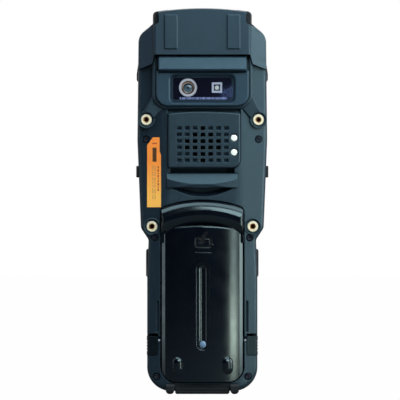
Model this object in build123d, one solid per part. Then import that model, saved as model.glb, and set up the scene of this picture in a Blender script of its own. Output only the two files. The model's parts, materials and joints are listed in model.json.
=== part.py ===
from build123d import *

import os

# A portable barcode data terminal, in millimetres. It stands on its lower end:
# Z runs up its length, its back faces -Y, its display faces +Y, and X is to the
# right as the back is seen. The origin is between the feet at its lower end, on
# the plane where its two housings meet.

# ---------------------------------------------------------------- driving sizes
# Lengths along the terminal
handle_length = 94.0
body_length = 98.0
cap_length = 26.9
foot_height = 1.6

# Outline, as half widths seen from the back
handle_half = 31.3
neck_half = 30.5
body_half = 36.9
low_draw = 2.0
cap_draw = 0.7
crown_half = 28.05
neck_drop = 6.6
neck_taper = 26.0
body_rise = 50.0
shoulder_drop = 15.9
crown_drop = 9.1
crown_arc_r = 172.0
handle_corner_r = 13.5
low_corner_r = 5.0
shoulder_r = 8.0
crown_corner_r = 2.6
small_r = 1.0

# Depths from the parting plane
back_depth = 13.0
flank_half = 21.0
flank_slope = 0.30
flank_r = 24.0
face_depth = 13.5
face_bevel = 4.5
face_taper = 36.0
collar_depth = 15.0
frame_recess = 1.0
frame_gap = 0.45
frame_depth = 17.0
hood_depth = 21.0
hood_tilt = 1.9
cap_depth = 20.5
ear_depth = 16.5
ear_slope = 0.62
cap_straight = 9.0
cap_taper = 6.0
wall = 2.4
tongue = 1.8
tongue_clear = 0.5
edge_r = 3.0
seam = 0.3
gap = 0.3
fit = 0.05

# Battery pack
pack_half = 23.3
pack_bottom = 7.0
pack_rise = 15.6
pack_corner_r = 8.5
pack_arc_r = 64.0
pack_gap = 0.6
pack_depth = 17.0
pack_edge_depth = 13.2
pack_floor_depth = 3.6
cover_rise = 1.4
cover_arc_r = 111.0
pack_strip = 2.3
pack_strip_drop = 1.7
pack_strip_r = 1.0
hump_lip_depth = 13.2
hump_lip_r = 0.8
hump_crest_depth = 16.6
hump_valley_depth = 12.7
hump_crest_in = 7.4
hump_valley_in = 14.0
hump_end_in = 18.0
hump_turn = 30.0
hump_side_depth = 16.5
hump_side_r = 2.2
shell_wall = 1.6
shell_roof = 2.2
base_thick = 1.5
groove_x = 0.3
groove_half = 3.6
groove_bottom = 24.9
groove_top = 74.3
groove_depth = 0.9
channel_r = 2.9
channel_depth = 1.8
channel_in = 3.1
nub_x = 13.8
nub_z = 16.2
nub_r = 4.5
nub_half = 1.6
nub_rise = 1.3
nub_root = 0.6
icon_z = 86.0
icon_width = 9.2
icon_height = 6.0
icon_stroke = 1.1
icon_bolt_rise = 3.2
icon_depth = 0.7
icon_x = 0.6
icon_line_drop = 5.5
icon_line_h = 0.6
cell_width = 34.0
cell_length = 40.0
cell_thick = 6.4
connector_half = 9.0
connector_h = 6.0
connector_drop = 13.0
terminal_pitch = 6.0
terminal_w = 3.2
terminal_h = 4.0

# Camera
frame_half = 26.3
frame_drop = 29.1
frame_corner_r = 7.0
hood_half = 25.0
hood_drop = 9.0
hood_height = 8.1
hood_groove = 1.4
hood_groove_depth = 2.0
hood_r = 1.4
window_half = 18.2
window_drop = 27.0
window_height = 15.6
window_r = 3.0
window_bevel = 1.0
window_thick = 1.2
window_ledge = 1.6
window_sink = 0.6
window_edge = 0.5
camera_x = -8.1
camera_drop = 18.5
camera_body_w = 10.0
camera_body_depth = 5.0
barrel_length = 5.8
lens_d = 6.6
trim_d = 10.2
trim_width = 1.3
trim_thick = 1.2
flash_x = 8.3
flash_size = 5.8
flash_wall = 0.8
flash_depth = 3.0
flash_well = 1.5
flash_lamp_sink = 0.4
flash_lamp_d = 2.4
optics_gap = 0.15
collar_half = 28.3
collar_corner_r = 8.6
collar_margin = 1.4
hood_slot = 1.3
hood_slot_depth = 12.2

# Cap
rib_half_in = 14.0
rib_half_out = 21.4
rib_height = 1.3
rib_start = 3.2
rib_end_drop = 2.4
jog_half = 27.0
jog_drop = 5.2
seam_drop = 8.4
scoop_half = 24.5
scoop_drop = 10.9
scoop_depth = 8.0
pad_sink = 3.4
scan_half = 19.5
scan_width = 9.0
scan_centre_depth = 8.4
scan_sink = 2.6
scan_thick = 1.8
scan_throat = 15.0
scan_throat_in = 2.0
engine_width = 26.0
engine_height = 13.0
engine_depth = 12.0
engine_drop = 4.6
engine_lens_depth = 3.0

# Speaker
cover_half = 20.5
cover_shift = 1.0
cover_low = 34.1
cover_high = 66.1
cover_depth = 15.5
cover_recess = 1.0
trough_floor = 10.4
cover_corner_r = 4.5
cover_bow_r = 180.0
cell_columns = 7
cell_rows = 6
cell_pitch_x = 4.43
cell_pitch_z = 3.66
cell_w = 2.7
cell_h = 2.2
louvre_depth = 1.8
louvre_ledge = 0.9
grille_x = 0.25
grille_rise = 47.35
driver_w = 31.0
driver_h = 21.0
driver_thick = 3.4
pin_x = 17.9
pin_rise = 46.9
pin_pitch = 8.1
pin_d = 3.8
pin_recess_d = 5.2

# Strap
bar_half = 20.0
bar_low = 23.0
bar_height = 8.3
bar_depth = 15.9
bar_top_depth = 12.6
bar_end_depth = 14.3
bar_thick = 5.3
strap_half = 18.3
strap_slot_low = 23.6
strap_slot_high = 34.1
strap_floor_depth = 5.6
dish_half = 18.0
dish_sag = 5.2
dish_depth = 5.5
dish_draft = 25.0
lug_x = 18.3
lug_width = 4.8
lug_height = 6.0
lug_depth = 8.0
lug_back = 15.2
lug_hole_d = 2.0
lug_hole_z = 2.7
lug_hole_in = 1.9
lug_r = 1.8
lug_tip_r = 2.2

# Fasteners
insert_d = 6.2
insert_body_d = 4.6
insert_hole_d = 2.5
insert_length = 6.0
insert_flange = 1.0
insert_recess_d = 8.4
insert_recess = 1.5
boss_d = 9.6
boss_depth = 12.4
insert_high_x = 31.8
insert_high = 61.4
insert_low_x = 28.6
insert_low = 0.9
screw_d = 2.0
screw_head_d = 3.8
screw_head_h = 1.5
screw_recess_d = 4.4
screw_reach = 5.0
screw_boss_d = 6.4
screw_sink = 2.2
screw_high_x = 31.9
screw_high = 50.3
screw_mid_x = 26.9
screw_mid_drop = 5.5
screw_low_x = 25.9
screw_low_z = 9.9

# Latches and side keys
latch_inset = 2.0
latch_low = 22.0
latch_height = 10.7
latch_proud = 0.2
latch_travel = 1.2
latch_front = 4.3
latch_nose_low = 7.6
latch_nose_height = 1.6
latch_nose_depth = 2.2
latch_nose_back = 10.9
rail_slot_width = 1.6
rail_slot_low = 34.9
rail_slot_high = 52.8
rail_slot_depth = 2.0
trigger_out = 31.95
trigger_in = 28.0
trigger_low = 66.0
trigger_height = 16.2
trigger_width = 6.2
trigger_centre_depth = 4.8
trigger_travel = 0.8
trigger_r = 1.3
side_key_out = 37.55
side_key_in = 33.4
side_key_rise = 28.7
side_key_height = 6.6
side_key_width = 4.0
side_key_centre_depth = 4.2
side_key_travel = 0.5
side_key_r = 0.5

# Bumpers on the front housing
bumper_rise = 86.0
bumper_proud = 1.2
bumper_below = 3.4
bumper_above = 11.5
bumper_width = 9.0

# Rating label
label_in = 23.4
label_out = 31.3
label_low = 11.8
label_high = 51.4
label_notch_w = 3.3
label_notch_h = 4.4
label_step_w = 0.8
label_step_h = 10.0
label_thick = 0.15

# Display side
glass_half = 31.0
glass_low = 10.0
glass_high = 97.0
glass_r = 3.0
glass_thick = 1.3
glass_sink = 0.3
ledge = 2.2
ledge_thick = 1.6
gasket_thick = 0.4
panel_half = 27.5
panel_low = 15.0
panel_high = 92.0
panel_thick = 2.2
board_thick = 1.6
board_depth = 5.4
board_half = 23.0
board_low = 12.0
board_top_drop = 6.0
post_d = 5.0
post_rises = (-60.0, 40.0, 80.0)
ear_slot_half = 7.0
ear_slot_rise = 102.5
light_x = 16.0
light_d = 2.2
light_pitch = 5.0

# Keypad
mat_thick = 1.2
key_top = 15.2
key_travel = 0.8
key_pitch_x = 16.4
key_pitch_z = 11.0
key_w = 13.0
key_h = 8.0
key_r = 2.4
number_low = 17.5
scan_key_z = 79.0
scan_key_w = 15.0
scan_key_h = 12.0
arrow_reach_x = 13.6
arrow_reach_z = 12.2
arrow_long = 12.0
arrow_short = 7.0
corner_key_x = 22.4
corner_key_z = 10.2
corner_key_w = 7.6
corner_key_h = 8.4

# Dock connector
dock_half = 15.4
dock_front = 9.0
dock_back = 13.4
dock_height = 5.4
dock_rib_z = (2.0, 3.9)
dock_rib_h = 0.5
dock_rib_depth = 0.35
pad_count = 10
pad_pitch = 2.4
pad_w = 1.4
pad_l = 4.0
pad_recess = 0.4

# Seal between the housings
seal_width = 1.0
seal_depth = 1.0

# ---------------------------------------------------------------- derived places
wide_z = handle_length
cap_half = body_half - cap_draw
low_half = body_half - low_draw
tongue_half = scoop_half - wall - tongue_clear
latch_in = pack_half + latch_inset
rail_slot_x = latch_in
bumper_half = cap_half + bumper_proud
seam_z = wide_z + body_length
top_z = seam_z + cap_length
pack_top = wide_z + pack_rise
connector_z = wide_z - connector_drop
hood_z = seam_z - hood_drop
frame_z = seam_z - frame_drop
window_z = seam_z - window_drop
camera_z = seam_z - camera_drop
lens_face = frame_depth - window_sink - window_thick
glass_face = face_depth - glass_sink
glass_back = glass_face - glass_thick
optics_face = lens_face - optics_gap
board_face = board_depth + board_thick
key_bottom = board_face + mat_thick + key_travel + gap
grille_z = wide_z + grille_rise
inserts = [(side * x, wide_z + rise)
           for x, rise in ((insert_high_x, insert_high), (insert_low_x, insert_low))
           for side in (-1, 1)]
screws = [(side * x, z)
          for x, z in ((screw_high_x, wide_z + screw_high),
                       (screw_mid_x, wide_z - screw_mid_drop),
                       (screw_low_x, screw_low_z))
          for side in (-1, 1)]


# ---------------------------------------------------------------- helpers
def prism(sketch, front, back):
    """Solid of an X,Z outline between two places along Y."""
    return extrude(Pos(0, front, 0) * (Plane.XZ * sketch), amount=front - back)


def upright(sketch, low, high):
    """Solid of an X,Y cross-section between two heights."""
    return extrude(Pos(0, 0, low) * sketch, amount=high - low)


def across(sketch, half):
    """Solid of a Y,Z section, as wide as twice half, along X."""
    return extrude(Plane.YZ * sketch, amount=half, both=True)


def block(x0, x1, y0, y1, z0, z1):
    """Box between two corners."""
    size = (x1 - x0, y1 - y0, z1 - z0)
    return Pos((x0 + x1) / 2, (y0 + y1) / 2, (z0 + z1) / 2) * Box(*size)


def rod(x, z, diameter, front, back):
    """Cylinder along Y."""
    return prism(Pos(x, z) * Circle(diameter / 2), front, back)


def panel(x0, x1, z0, z1, radius):
    """Rounded rectangle in X,Z."""
    return Pos((x0 + x1) / 2, (z0 + z1) / 2) * RectangleRounded(x1 - x0, z1 - z0, radius)


def polygon(points):
    """Closed face through the points."""
    return make_face(Polyline(*points, close=True))


def both_sides(solid):
    """The solid and its mirror image across the middle."""
    return [solid, mirror(solid, about=Plane.YZ)]


def back_y(x):
    """Y of the rear housing's outer surface at x."""
    return -back_depth + max(0.0, abs(x) - flank_half) * flank_slope


def group(solids):
    """Separate solids as one node."""
    return Compound(children=list(solids))


# ---------------------------------------------------------------- outlines in X,Z
def housing_outline():
    """Outline shared by both housings and the cap."""
    right = [
        (handle_half, foot_height, handle_corner_r),
        (handle_half, wide_z - neck_taper, 30.0),
        (neck_half, wide_z - neck_drop, 3.0),
        (low_half, wide_z, low_corner_r),
        (body_half, wide_z + body_rise, 60.0),
        (cap_half, top_z - shoulder_drop, shoulder_r),
        (crown_half, top_z - crown_drop, small_r),
        (crown_half, top_z + cap_length, 0.0),
    ]
    left = [(-x, z, r) for x, z, r in reversed(right)]
    points = right + left
    path = FilletPolyline(*[(x, z) for x, z, r in points], radius=[r for x, z, r in points], close=True)
    face = make_face(path) & (Pos(0, top_z - crown_arc_r) * Circle(crown_arc_r))
    corners = [v for v in face.vertices() if v.Y > top_z - crown_drop / 2]
    return fillet(corners, crown_corner_r)


def cap_region():
    """Everything above the cap's lower seam."""
    reach = body_half + 10
    slope = (seam_drop - jog_drop) / (body_half - jog_half - 1.5)
    points = [
        (jog_half, seam_z),
        (jog_half + 1.5, seam_z - jog_drop),
        (reach, seam_z - jog_drop - slope * (reach - jog_half - 1.5)),
        (reach, top_z + 10),
    ]
    return polygon(points + [(-x, z) for x, z in reversed(points)])


def pack_outline(grow=0.0):
    """Outline of the battery pack, or of its bay where grow is the gap."""
    half = pack_half + grow
    low = pack_bottom - grow
    face = make_face(FilletPolyline(
        (-half, low), (half, low), (half, pack_top + 5), (-half, pack_top + 5),
        radius=[pack_corner_r + grow, pack_corner_r + grow, 0, 0], close=True))
    face = face & (Pos(0, pack_top - pack_arc_r) * Circle(pack_arc_r + grow))
    corners = [v for v in face.vertices() if v.Y > pack_top - 6]
    return fillet(corners, 3.0 + grow)


def label_outline():
    """Rating label with its notched corner."""
    z0 = wide_z + label_low
    z1 = wide_z + label_high
    return polygon([
        (-label_out, z0), (-label_in, z0), (-label_in, z1 - label_step_h),
        (-label_in - label_step_w, z1 - label_step_h + 2.0), (-label_in - label_step_w, z1),
        (-label_out + label_notch_w, z1), (-label_out, z1 - label_notch_h)])


def glass_outline(grow=0.0):
    """Outline of the touch glass."""
    return panel(-glass_half - grow, glass_half + grow,
                 wide_z + glass_low - grow, wide_z + glass_high + grow, glass_r + grow)


# ---------------------------------------------------------------- housings
def back_section(inset=0.0):
    """Cross-section of the rear housing: a flat back with sloping flanks."""
    reach = body_half + 8
    deep = inset - back_depth
    side = deep + (reach - flank_half) * flank_slope
    face = polygon([(reach, 0), (reach, side), (flank_half, deep),
                    (-flank_half, deep), (-reach, side), (-reach, 0)])
    corners = [v for v in face.vertices() if abs(abs(v.X) - flank_half) < 0.01]
    return fillet(corners, flank_r - inset)


def collar_outline():
    """Raised field round the camera frame."""
    low = frame_z - collar_margin
    return make_face(FilletPolyline(
        (-jog_half, seam_z), (jog_half, seam_z), (collar_half, seam_z - jog_drop), (collar_half, low),
        (-collar_half, low), (-collar_half, seam_z - jog_drop),
        radius=[0, 0, 0, collar_corner_r, collar_corner_r, 0], close=True))


def strut_outline(side):
    """Sloping rib from the collar's corner to an upper insert's boss."""
    z = wide_z + insert_high
    x = side * insert_high_x
    return polygon([
        (side * (collar_half - 6.5), frame_z - 1.0), (side * (collar_half - 1.0), frame_z + 7.5),
        (x + side * 2.0, z + 4.0), (x - side * 4.0, z)])


def on_seam(edge):
    """Whether an edge lies along the cap's lower seam."""
    middle = edge @ 0.5
    level = seam_z if abs(middle.X) < jog_half else seam_z - jog_drop
    return middle.Z > level - seam_drop and edge.bounding_box().size.Z < 2 * jog_drop


def rear_solid():
    """Outer form of the rear housing, before it is hollowed."""
    shell = prism(housing_outline(), 0, -back_depth) & upright(back_section(), 0, top_z)
    shell -= prism(offset(cap_region(), seam), 1, -cap_depth)
    rim = [e for e in shell.edges()
           if e.bounding_box().min.Y < -4 and e.bounding_box().size.Y < 5
           and not (e.bounding_box().size.X < 0.01 and abs(e.center().X) < flank_half + 6)
           and not on_seam(e)]
    shell = fillet(rim, edge_r)
    collar = extrude(Pos(0, -back_depth + wall, 0) * (Plane.XZ * collar_outline()),
                     amount=collar_depth - back_depth + wall)
    shell += chamfer(collar.faces().sort_by(Axis.Y)[0].edges(), 0.6)
    for side in (-1, 1):
        strut = prism(strut_outline(side), -wall - 4, -boss_depth - 0.6)
        shell += chamfer(strut.faces().sort_by(Axis.Y)[0].edges(), 0.7)
    for x, z in inserts:
        shell += rod(x, z, boss_d, -wall, -boss_depth) & prism(housing_outline(), 0, -boss_depth)
    return shell - prism(offset(cap_region(), seam), 1, -cap_depth)


def rear_cavity():
    """Hollow of the rear housing, clear of the battery bay and the strap recess."""
    inner = offset(housing_outline(), -wall)
    hollow = prism(inner, 1, -back_depth) & upright(Pos(0, 1) * back_section(wall + 1), 0, top_z)
    keep = [prism(pack_outline(pack_gap + wall - 1), wall - pack_floor_depth, -back_depth)]
    keep.append(block(-dish_half - wall, dish_half + wall, -back_depth, wall - strap_floor_depth,
                      wide_z + bar_low - dish_sag - wall, wide_z + strap_slot_high + wall))
    keep.append(block(cover_shift - cover_half - wall, cover_shift + cover_half + wall, -back_depth,
                      wall - trough_floor, wide_z + cover_high - cover_corner_r - wall, frame_z + wall))
    for x, z in screws:
        keep.append(rod(x, z, screw_boss_d, 0, -back_depth))
    for x, z in inserts:
        keep.append(rod(x, z, insert_body_d + 3, wall - boss_depth + insert_length - 4, -back_depth))
    return hollow - keep


def screw_cuts():
    """Recesses and clearance holes for the housing screws."""
    cuts = []
    for x, z in screws:
        seat = back_y(x) + screw_sink
        cuts.append(rod(x, z, screw_recess_d, seat, -back_depth - 5))
        cuts.append(rod(x, z, screw_d + 2 * fit, 1, seat - 0.1))
    return cuts


def latch_pocket(side):
    """Pocket in the rail that a latch slides in, and the slot for its nose."""
    low = latch_low - gap
    high = latch_low + latch_height + latch_travel + gap
    pocket = block(latch_in - gap, handle_half + 5, -back_depth - 1, -latch_front + gap, low, high)
    nose = block(pack_half, latch_in, -back_depth - 1, -latch_nose_back + latch_nose_depth + gap,
                 latch_low + latch_nose_low - gap,
                 latch_low + latch_nose_low + latch_nose_height + latch_travel + gap)
    cut = pocket + nose
    return cut if side > 0 else mirror(cut, about=Plane.YZ)


def side_cut(inner, outer, z0, height, depth, width, radius):
    """Rounded hole through a side wall, on both sides."""
    hole = Plane.YZ * (Pos(-depth, z0 + height / 2) * RectangleRounded(width, height, radius))
    return both_sides(extrude(Pos(inner, 0, 0) * hole, amount=outer - inner))


def rear_housing():
    """Moulded rear shell with its bay, recesses and bosses."""
    shell = rear_solid() - rear_cavity()
    shell -= prism(pack_outline(pack_gap), -pack_floor_depth, -cap_depth)
    shell -= block(-strap_half, strap_half, -back_depth - 5, -strap_floor_depth,
                   wide_z + strap_slot_low, wide_z + strap_slot_high)
    shell -= strap_dish()
    shell -= block(-bar_half, bar_half, -back_depth - 5, -bar_depth + bar_thick,
                   wide_z + bar_low, wide_z + bar_low + bar_height)
    shell -= prism(cover_outline(gap), cover_recess - back_depth, -cap_depth)
    shell -= cover_trough()
    shell -= block(grille_x - driver_w / 2, grille_x + driver_w / 2, -back_depth - 1, -1,
                   grille_z - driver_h / 2, grille_z + driver_h / 2)
    for x, z in inserts:
        shell -= rod(x, z, insert_body_d, -boss_depth + insert_length, -cap_depth)
        shell -= rod(x, z, insert_recess_d, -boss_depth + insert_recess, -cap_depth)
    shell -= screw_cuts()
    shell -= latch_pocket(1)
    shell -= latch_pocket(-1)
    shell -= both_sides(block(rail_slot_x - rail_slot_width / 2, rail_slot_x + rail_slot_width / 2,
                              -back_depth, back_y(rail_slot_x) + rail_slot_depth,
                              rail_slot_low, rail_slot_high))
    shell -= side_cut(trigger_in - trigger_travel - gap, handle_half + 3, trigger_low - gap,
                      trigger_height + 2 * gap, trigger_centre_depth, trigger_width + 2 * gap, 3.0 + gap)
    shell -= side_cut(side_key_in - side_key_travel - gap, body_half + 3, wide_z + side_key_rise - gap,
                      side_key_height + 2 * gap, side_key_centre_depth,
                      side_key_width + 2 * gap, 1.2 + gap)
    shell -= camera_openings()
    shell -= dock_opening()
    shell -= prism(seal_ring(), 1, -seal_depth)
    shell -= lug_slots()
    shell -= connector_opening()
    shell += board_posts()
    shell += block(-tongue_half, tongue_half, frame_recess - collar_depth, wall - back_depth,
                   seam_z - wall, seam_z + tongue)
    return shell


def cover_trough():
    """Deep gap between the speaker cover's bowed edge and the collar."""
    trough = block(cover_shift - cover_half - gap, cover_shift + cover_half + gap, -cap_depth,
                   -trough_floor, wide_z + cover_high - cover_corner_r, frame_z - collar_margin)
    return trough - prism(cover_outline(), 0, -cap_depth)


def strap_dish():
    """Hollow under the strap bar, with a curved lower edge and sloping walls."""
    low = wide_z + bar_low
    high = low + bar_height
    sketch = make_face([ThreePointArc((-dish_half, low), (0, low - dish_sag), (dish_half, low)),
                        Polyline((dish_half, low), (dish_half, high), (-dish_half, high), (-dish_half, low))])
    return extrude(Pos(0, -back_depth, 0) * (Plane.XZ * sketch), amount=-dish_depth, taper=dish_draft)


def board_posts():
    """Posts that carry the main board, from the bay's floor or the back wall."""
    posts = []
    for rise in post_rises:
        root = -pack_floor_depth if rise < 0 else -back_depth
        for side in (-1, 1):
            x = side * (board_half - post_d / 2)
            posts.append(rod(x, wide_z + rise, post_d, board_depth, root + wall / 2))
    return posts


def cover_outline(grow=0.0):
    """Speaker cover, with a slightly bowed upper edge."""
    x0 = cover_shift - cover_half - grow
    x1 = cover_shift + cover_half + grow
    z0 = wide_z + cover_low - grow
    z1 = wide_z + cover_high + grow
    face = make_face(FilletPolyline(
        (x0, z0), (x1, z0), (x1, z1 + 5), (x0, z1 + 5),
        radius=[1.0 + grow, cover_corner_r + grow, 0, 0], close=True))
    return face & (Pos(cover_shift, z1 - cover_bow_r) * Circle(cover_bow_r))


def camera_openings():
    """Hole behind the camera window, and the recess that the frame sits in."""
    inset = window_ledge + 0.4
    hole = panel(-window_half + inset, window_half - inset,
                 window_z + inset, window_z + window_height - inset, window_r)
    recess = prism(frame_outline(frame_gap, 0.0), frame_recess - collar_depth, -cap_depth)
    slots = both_sides(block(hood_half, frame_half + frame_gap, -cap_depth, -hood_slot_depth,
                             hood_z, seam_z - seam))
    return prism(hole, 0, -collar_depth - 1) + recess + slots


def dock_opening():
    """Cut-out at the lower end for the dock connector."""
    return block(-dock_half - fit, dock_half + fit, -dock_back - fit, dock_front + fit,
                 -1, dock_height)


def seal_ring():
    """Ring of the seal, inside the wall of both housings."""
    outer = offset(housing_outline(), -wall + seal_width)
    return outer - offset(housing_outline(), -wall)


def lug_slots():
    """Seats of the strap lugs in the lower end."""
    return both_sides(block(lug_x - lug_width / 2, lug_x + lug_width / 2, -back_depth - 5,
                            -lug_back + lug_depth, -1, lug_height))


def connector_opening():
    """Window in the floor of the battery bay for the battery's contacts."""
    return block(-connector_half, connector_half, -pack_floor_depth - 1, 1,
                 connector_z - connector_h / 2, connector_z + connector_h / 2)


def front_solid():
    """Outer form of the front housing, with a bevel round its face."""
    straight = face_depth - face_bevel
    lower = prism(housing_outline(), straight, 0)
    base = Pos(0, straight, 0) * (Plane.XZ * housing_outline())
    upper = extrude(base, amount=face_bevel, dir=(0, 1, 0), taper=face_taper)
    return lower + upper


def front_housing():
    """Moulded front shell with the bezel, the keypad face and screw bosses."""
    inner = offset(housing_outline(), -wall)
    shell = front_solid()
    bosses = [rod(x, z, screw_boss_d, face_depth, -1) for x, z in screws]
    shell -= prism(inner, face_depth - wall, -1) - bosses
    for x, z in screws:
        shell -= rod(x, z, screw_d + 2 * fit, screw_reach + 0.5, -1)
    shell -= prism(glass_outline(gap), face_depth + 1, glass_back - gasket_thick)
    shell += prism(glass_outline(gap + 1), glass_back - gasket_thick, glass_back - gasket_thick - ledge_thick)
    shell -= prism(glass_outline(-ledge), face_depth, 0)
    for name, x, z, w, h, r in key_list():
        hole = Pos(x, z) * RectangleRounded(w + 2 * gap, h + 2 * gap, r + gap)
        shell -= prism(hole, face_depth + 1, board_face + mat_thick)
    shell -= prism(Pos(0, wide_z + ear_slot_rise) * SlotOverall(2 * ear_slot_half, 1.6), face_depth + 1, 5)
    for x, z in light_places():
        shell -= rod(x, z, light_d + 2 * fit, face_depth + 1, 5)
    shell -= dock_opening()
    shell -= prism(seal_ring(), seal_depth, -1)
    return shell


# ---------------------------------------------------------------- cap and head
def cap_section(inset=0.0):
    """Cross-section of the cap: a raised middle and sloping ears."""
    reach = body_half + 8
    half = crown_half - 0.6 - inset
    deep = inset - cap_depth
    ear = inset - ear_depth
    side = ear + (reach - half) * ear_slope
    face = polygon([(reach, 0), (reach, side), (half, ear), (half, deep),
                    (-half, deep), (-half, ear), (-reach, side), (-reach, 0)])
    corners = [v for v in face.vertices() if abs(v.Y - deep) < 0.01]
    return fillet(corners, max(0.4, 1.4 - inset / 2))


def scoop_outline(shrink=0.0):
    """Scooped corner of the crown, on the right."""
    x = scoop_half + shrink
    low = top_z - scoop_drop + shrink
    return make_face(FilletPolyline(
        (x, low + 1.8), (crown_half + 6, low - 1.6), (crown_half + 6, top_z + 6), (x + 0.8, top_z + 6),
        radius=[2.0, 0, 0, 0], close=True))


def crown_solid():
    """Outline of the head, drawn in towards the back."""
    straight = prism(housing_outline(), 0, -cap_straight)
    base = Pos(0, -cap_straight, 0) * (Plane.XZ * housing_outline())
    return straight + extrude(base, amount=cap_depth - cap_straight, taper=cap_taper)


def top_cap():
    """Impact cap over the head."""
    region = cap_region()
    cap = crown_solid() & prism(region, 0, -cap_depth) & upright(cap_section(), 0, top_z + 5)
    for side in (-1, 1):
        x0, x1 = sorted((side * rib_half_in, side * rib_half_out))
        rib = prism(panel(x0, x1, seam_z + rib_start, top_z - rib_end_drop - 2.0, 0.6), -cap_depth + 1,
                    -cap_depth - rib_height)
        cap += chamfer(rib.faces().sort_by(Axis.Y)[0].edges(), 0.35)
    cap -= both_sides(prism(scoop_outline(), -scoop_depth, -cap_depth - 2))
    inner = prism(offset(housing_outline(), -wall) & offset(region, 5), 1, -cap_depth)
    inner = inner & upright(Pos(0, 1) * cap_section(wall + 1), seam_z - 20, top_z - scoop_drop - wall)
    head = block(-scoop_half + wall, scoop_half - wall, -cap_depth + wall, 1,
                 seam_z, top_z - scan_sink - scan_thick - 2.5)
    cap -= inner + head
    cap -= scan_slot(0.0, top_z - scan_sink - scan_thick, top_z + 5)
    cap -= scan_slot(scan_throat_in, top_z - scan_throat, top_z + 5)
    return cap - prism(seal_ring(), 1, -seal_depth)


def scan_slot(inset, low, high):
    """Opening for the scan window in the end of the cap."""
    sketch = Pos(0, -scan_centre_depth) * RectangleRounded(
        2 * (scan_half - inset), scan_width - 2 * inset, 1.2)
    return upright(sketch, low, high)


def scan_window():
    """Dark window of the scan engine, flush in the end of the cap."""
    sketch = Pos(0, -scan_centre_depth) * RectangleRounded(
        2 * (scan_half - fit), scan_width - 2 * fit, 1.2 - fit)
    low = top_z - scan_sink - scan_thick
    return upright(sketch, low, low + scan_thick)


def scan_engine():
    """Imaging engine on the inside of the cap's back wall."""
    back = wall - cap_depth
    high = top_z - scan_sink - scan_thick - engine_drop
    body = block(-engine_width / 2, engine_width / 2, back, back + engine_depth, high - engine_height, high)
    place = Pos(0, back + engine_depth - engine_lens_depth, high)
    lens = place * Pos(-6, 0) * Cylinder(3.0, 1.6, align=(Align.CENTER, Align.CENTER, Align.MIN))
    lamp = place * Pos(6, 0) * Cylinder(1.8, 1.0, align=(Align.CENTER, Align.CENTER, Align.MIN))
    return body + lens + lamp


def cap_corner_pads():
    """Soft inserts in the scooped corners of the crown."""
    pad = crown_solid() & prism(scoop_outline(seam), -scoop_depth, -cap_depth + pad_sink)
    return group(both_sides(pad))


# ---------------------------------------------------------------- camera
def frame_outline(grow, notch):
    """Outline of the camera frame, notched beside the hood, or of its recess in the collar."""
    half = frame_half + grow
    corner = frame_corner_r + grow
    high = seam_z - seam
    face = make_face(FilletPolyline(
        (-half, frame_z - grow), (half, frame_z - grow), (half, high), (-half, high),
        radius=[corner, corner, 0.8, 0.8], close=True))
    if notch:
        face -= [panel(x - notch, x + notch, hood_z, high + notch, 0.4) for x in (-half, half)]
    return face


def camera_frame():
    """Frame round the camera window, with the hood bar above it."""
    frame = prism(frame_outline(0.0, hood_slot), frame_recess - collar_depth, -frame_depth)
    frame = chamfer(frame.faces().sort_by(Axis.Y)[0].edges(), 0.7)
    visor = make_face(FilletPolyline(
        (-collar_depth, hood_z), (-hood_depth, hood_z), (-hood_depth + hood_tilt, hood_z + hood_height),
        (-collar_depth, hood_z + hood_height), radius=[0, 0.9, hood_r, 0], close=True))
    hood = across(visor, hood_half)
    ends = hood.faces().sort_by(Axis.X)
    hood = chamfer(ends[0].edges() + ends[-1].edges(), 0.6)
    frame -= block(-hood_half, hood_half, -frame_depth - 1, -frame_depth + hood_groove_depth,
                   hood_z - hood_groove, hood_z)
    frame += hood
    hole = panel(-window_half, window_half, window_z, window_z + window_height, window_r)
    frame -= prism(hole, -lens_face, -frame_depth - 5) - hood
    frame -= prism(offset(hole, -window_ledge), 0, -frame_depth)
    rim = [e for e in frame.edges()
           if abs(e.center().Y + frame_depth) < 0.01 and abs(e.center().X) < window_half + 0.01
           and window_z - 0.01 < e.center().Z < window_z + window_height + 0.01]
    return chamfer(rim, window_bevel - 0.2)


def camera_window():
    """Dark glass over the camera and the flash."""
    pane = panel(-window_half + fit, window_half - fit, window_z + fit,
                 window_z + window_height - fit, window_r - fit)
    pane = prism(pane, -lens_face, -lens_face - window_thick)
    return chamfer(pane.faces().sort_by(Axis.Y)[0].edges(), window_edge)


def camera_module():
    """Camera body and lens barrel behind the glass."""
    half = camera_body_w / 2
    back = barrel_length - optics_face
    body = block(camera_x - half, camera_x + half, back, back + camera_body_depth,
                 camera_z - half, camera_z + half)
    barrel = rod(camera_x, camera_z, lens_d, back, -optics_face)
    return body + barrel


def camera_trim_ring():
    """Bright ring round the lens, behind the glass."""
    ring = Circle(trim_d / 2) - Circle(trim_d / 2 - trim_width)
    return prism(Pos(camera_x, camera_z) * ring, trim_thick - optics_face, -optics_face)


def flash_led():
    """White lamp in its square reflector."""
    outer = Rectangle(flash_size, flash_size)
    inner = Rectangle(flash_size - 2 * flash_wall, flash_size - 2 * flash_wall)
    reflector = prism(Pos(flash_x, camera_z) * outer, flash_depth - optics_face, -optics_face)
    well = prism(Pos(flash_x, camera_z) * inner, flash_well - optics_face, -optics_face)
    lamp = rod(flash_x, camera_z, flash_lamp_d, flash_well + 0.1 - optics_face, flash_lamp_sink - optics_face)
    return reflector - well + lamp


# ---------------------------------------------------------------- speaker
def grille_cells():
    """Places of the grille's cells, and whether each one is open."""
    for row in range(cell_rows):
        for column in range(cell_columns):
            x = grille_x + (column - (cell_columns - 1) / 2) * cell_pitch_x
            z = grille_z + ((cell_rows - 1) / 2 - row) * cell_pitch_z
            middle = abs(column - (cell_columns - 1) / 2)
            level = abs(row - (cell_rows - 1) / 2) - 0.5
            yield x, z, middle + level < 2.5


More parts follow.
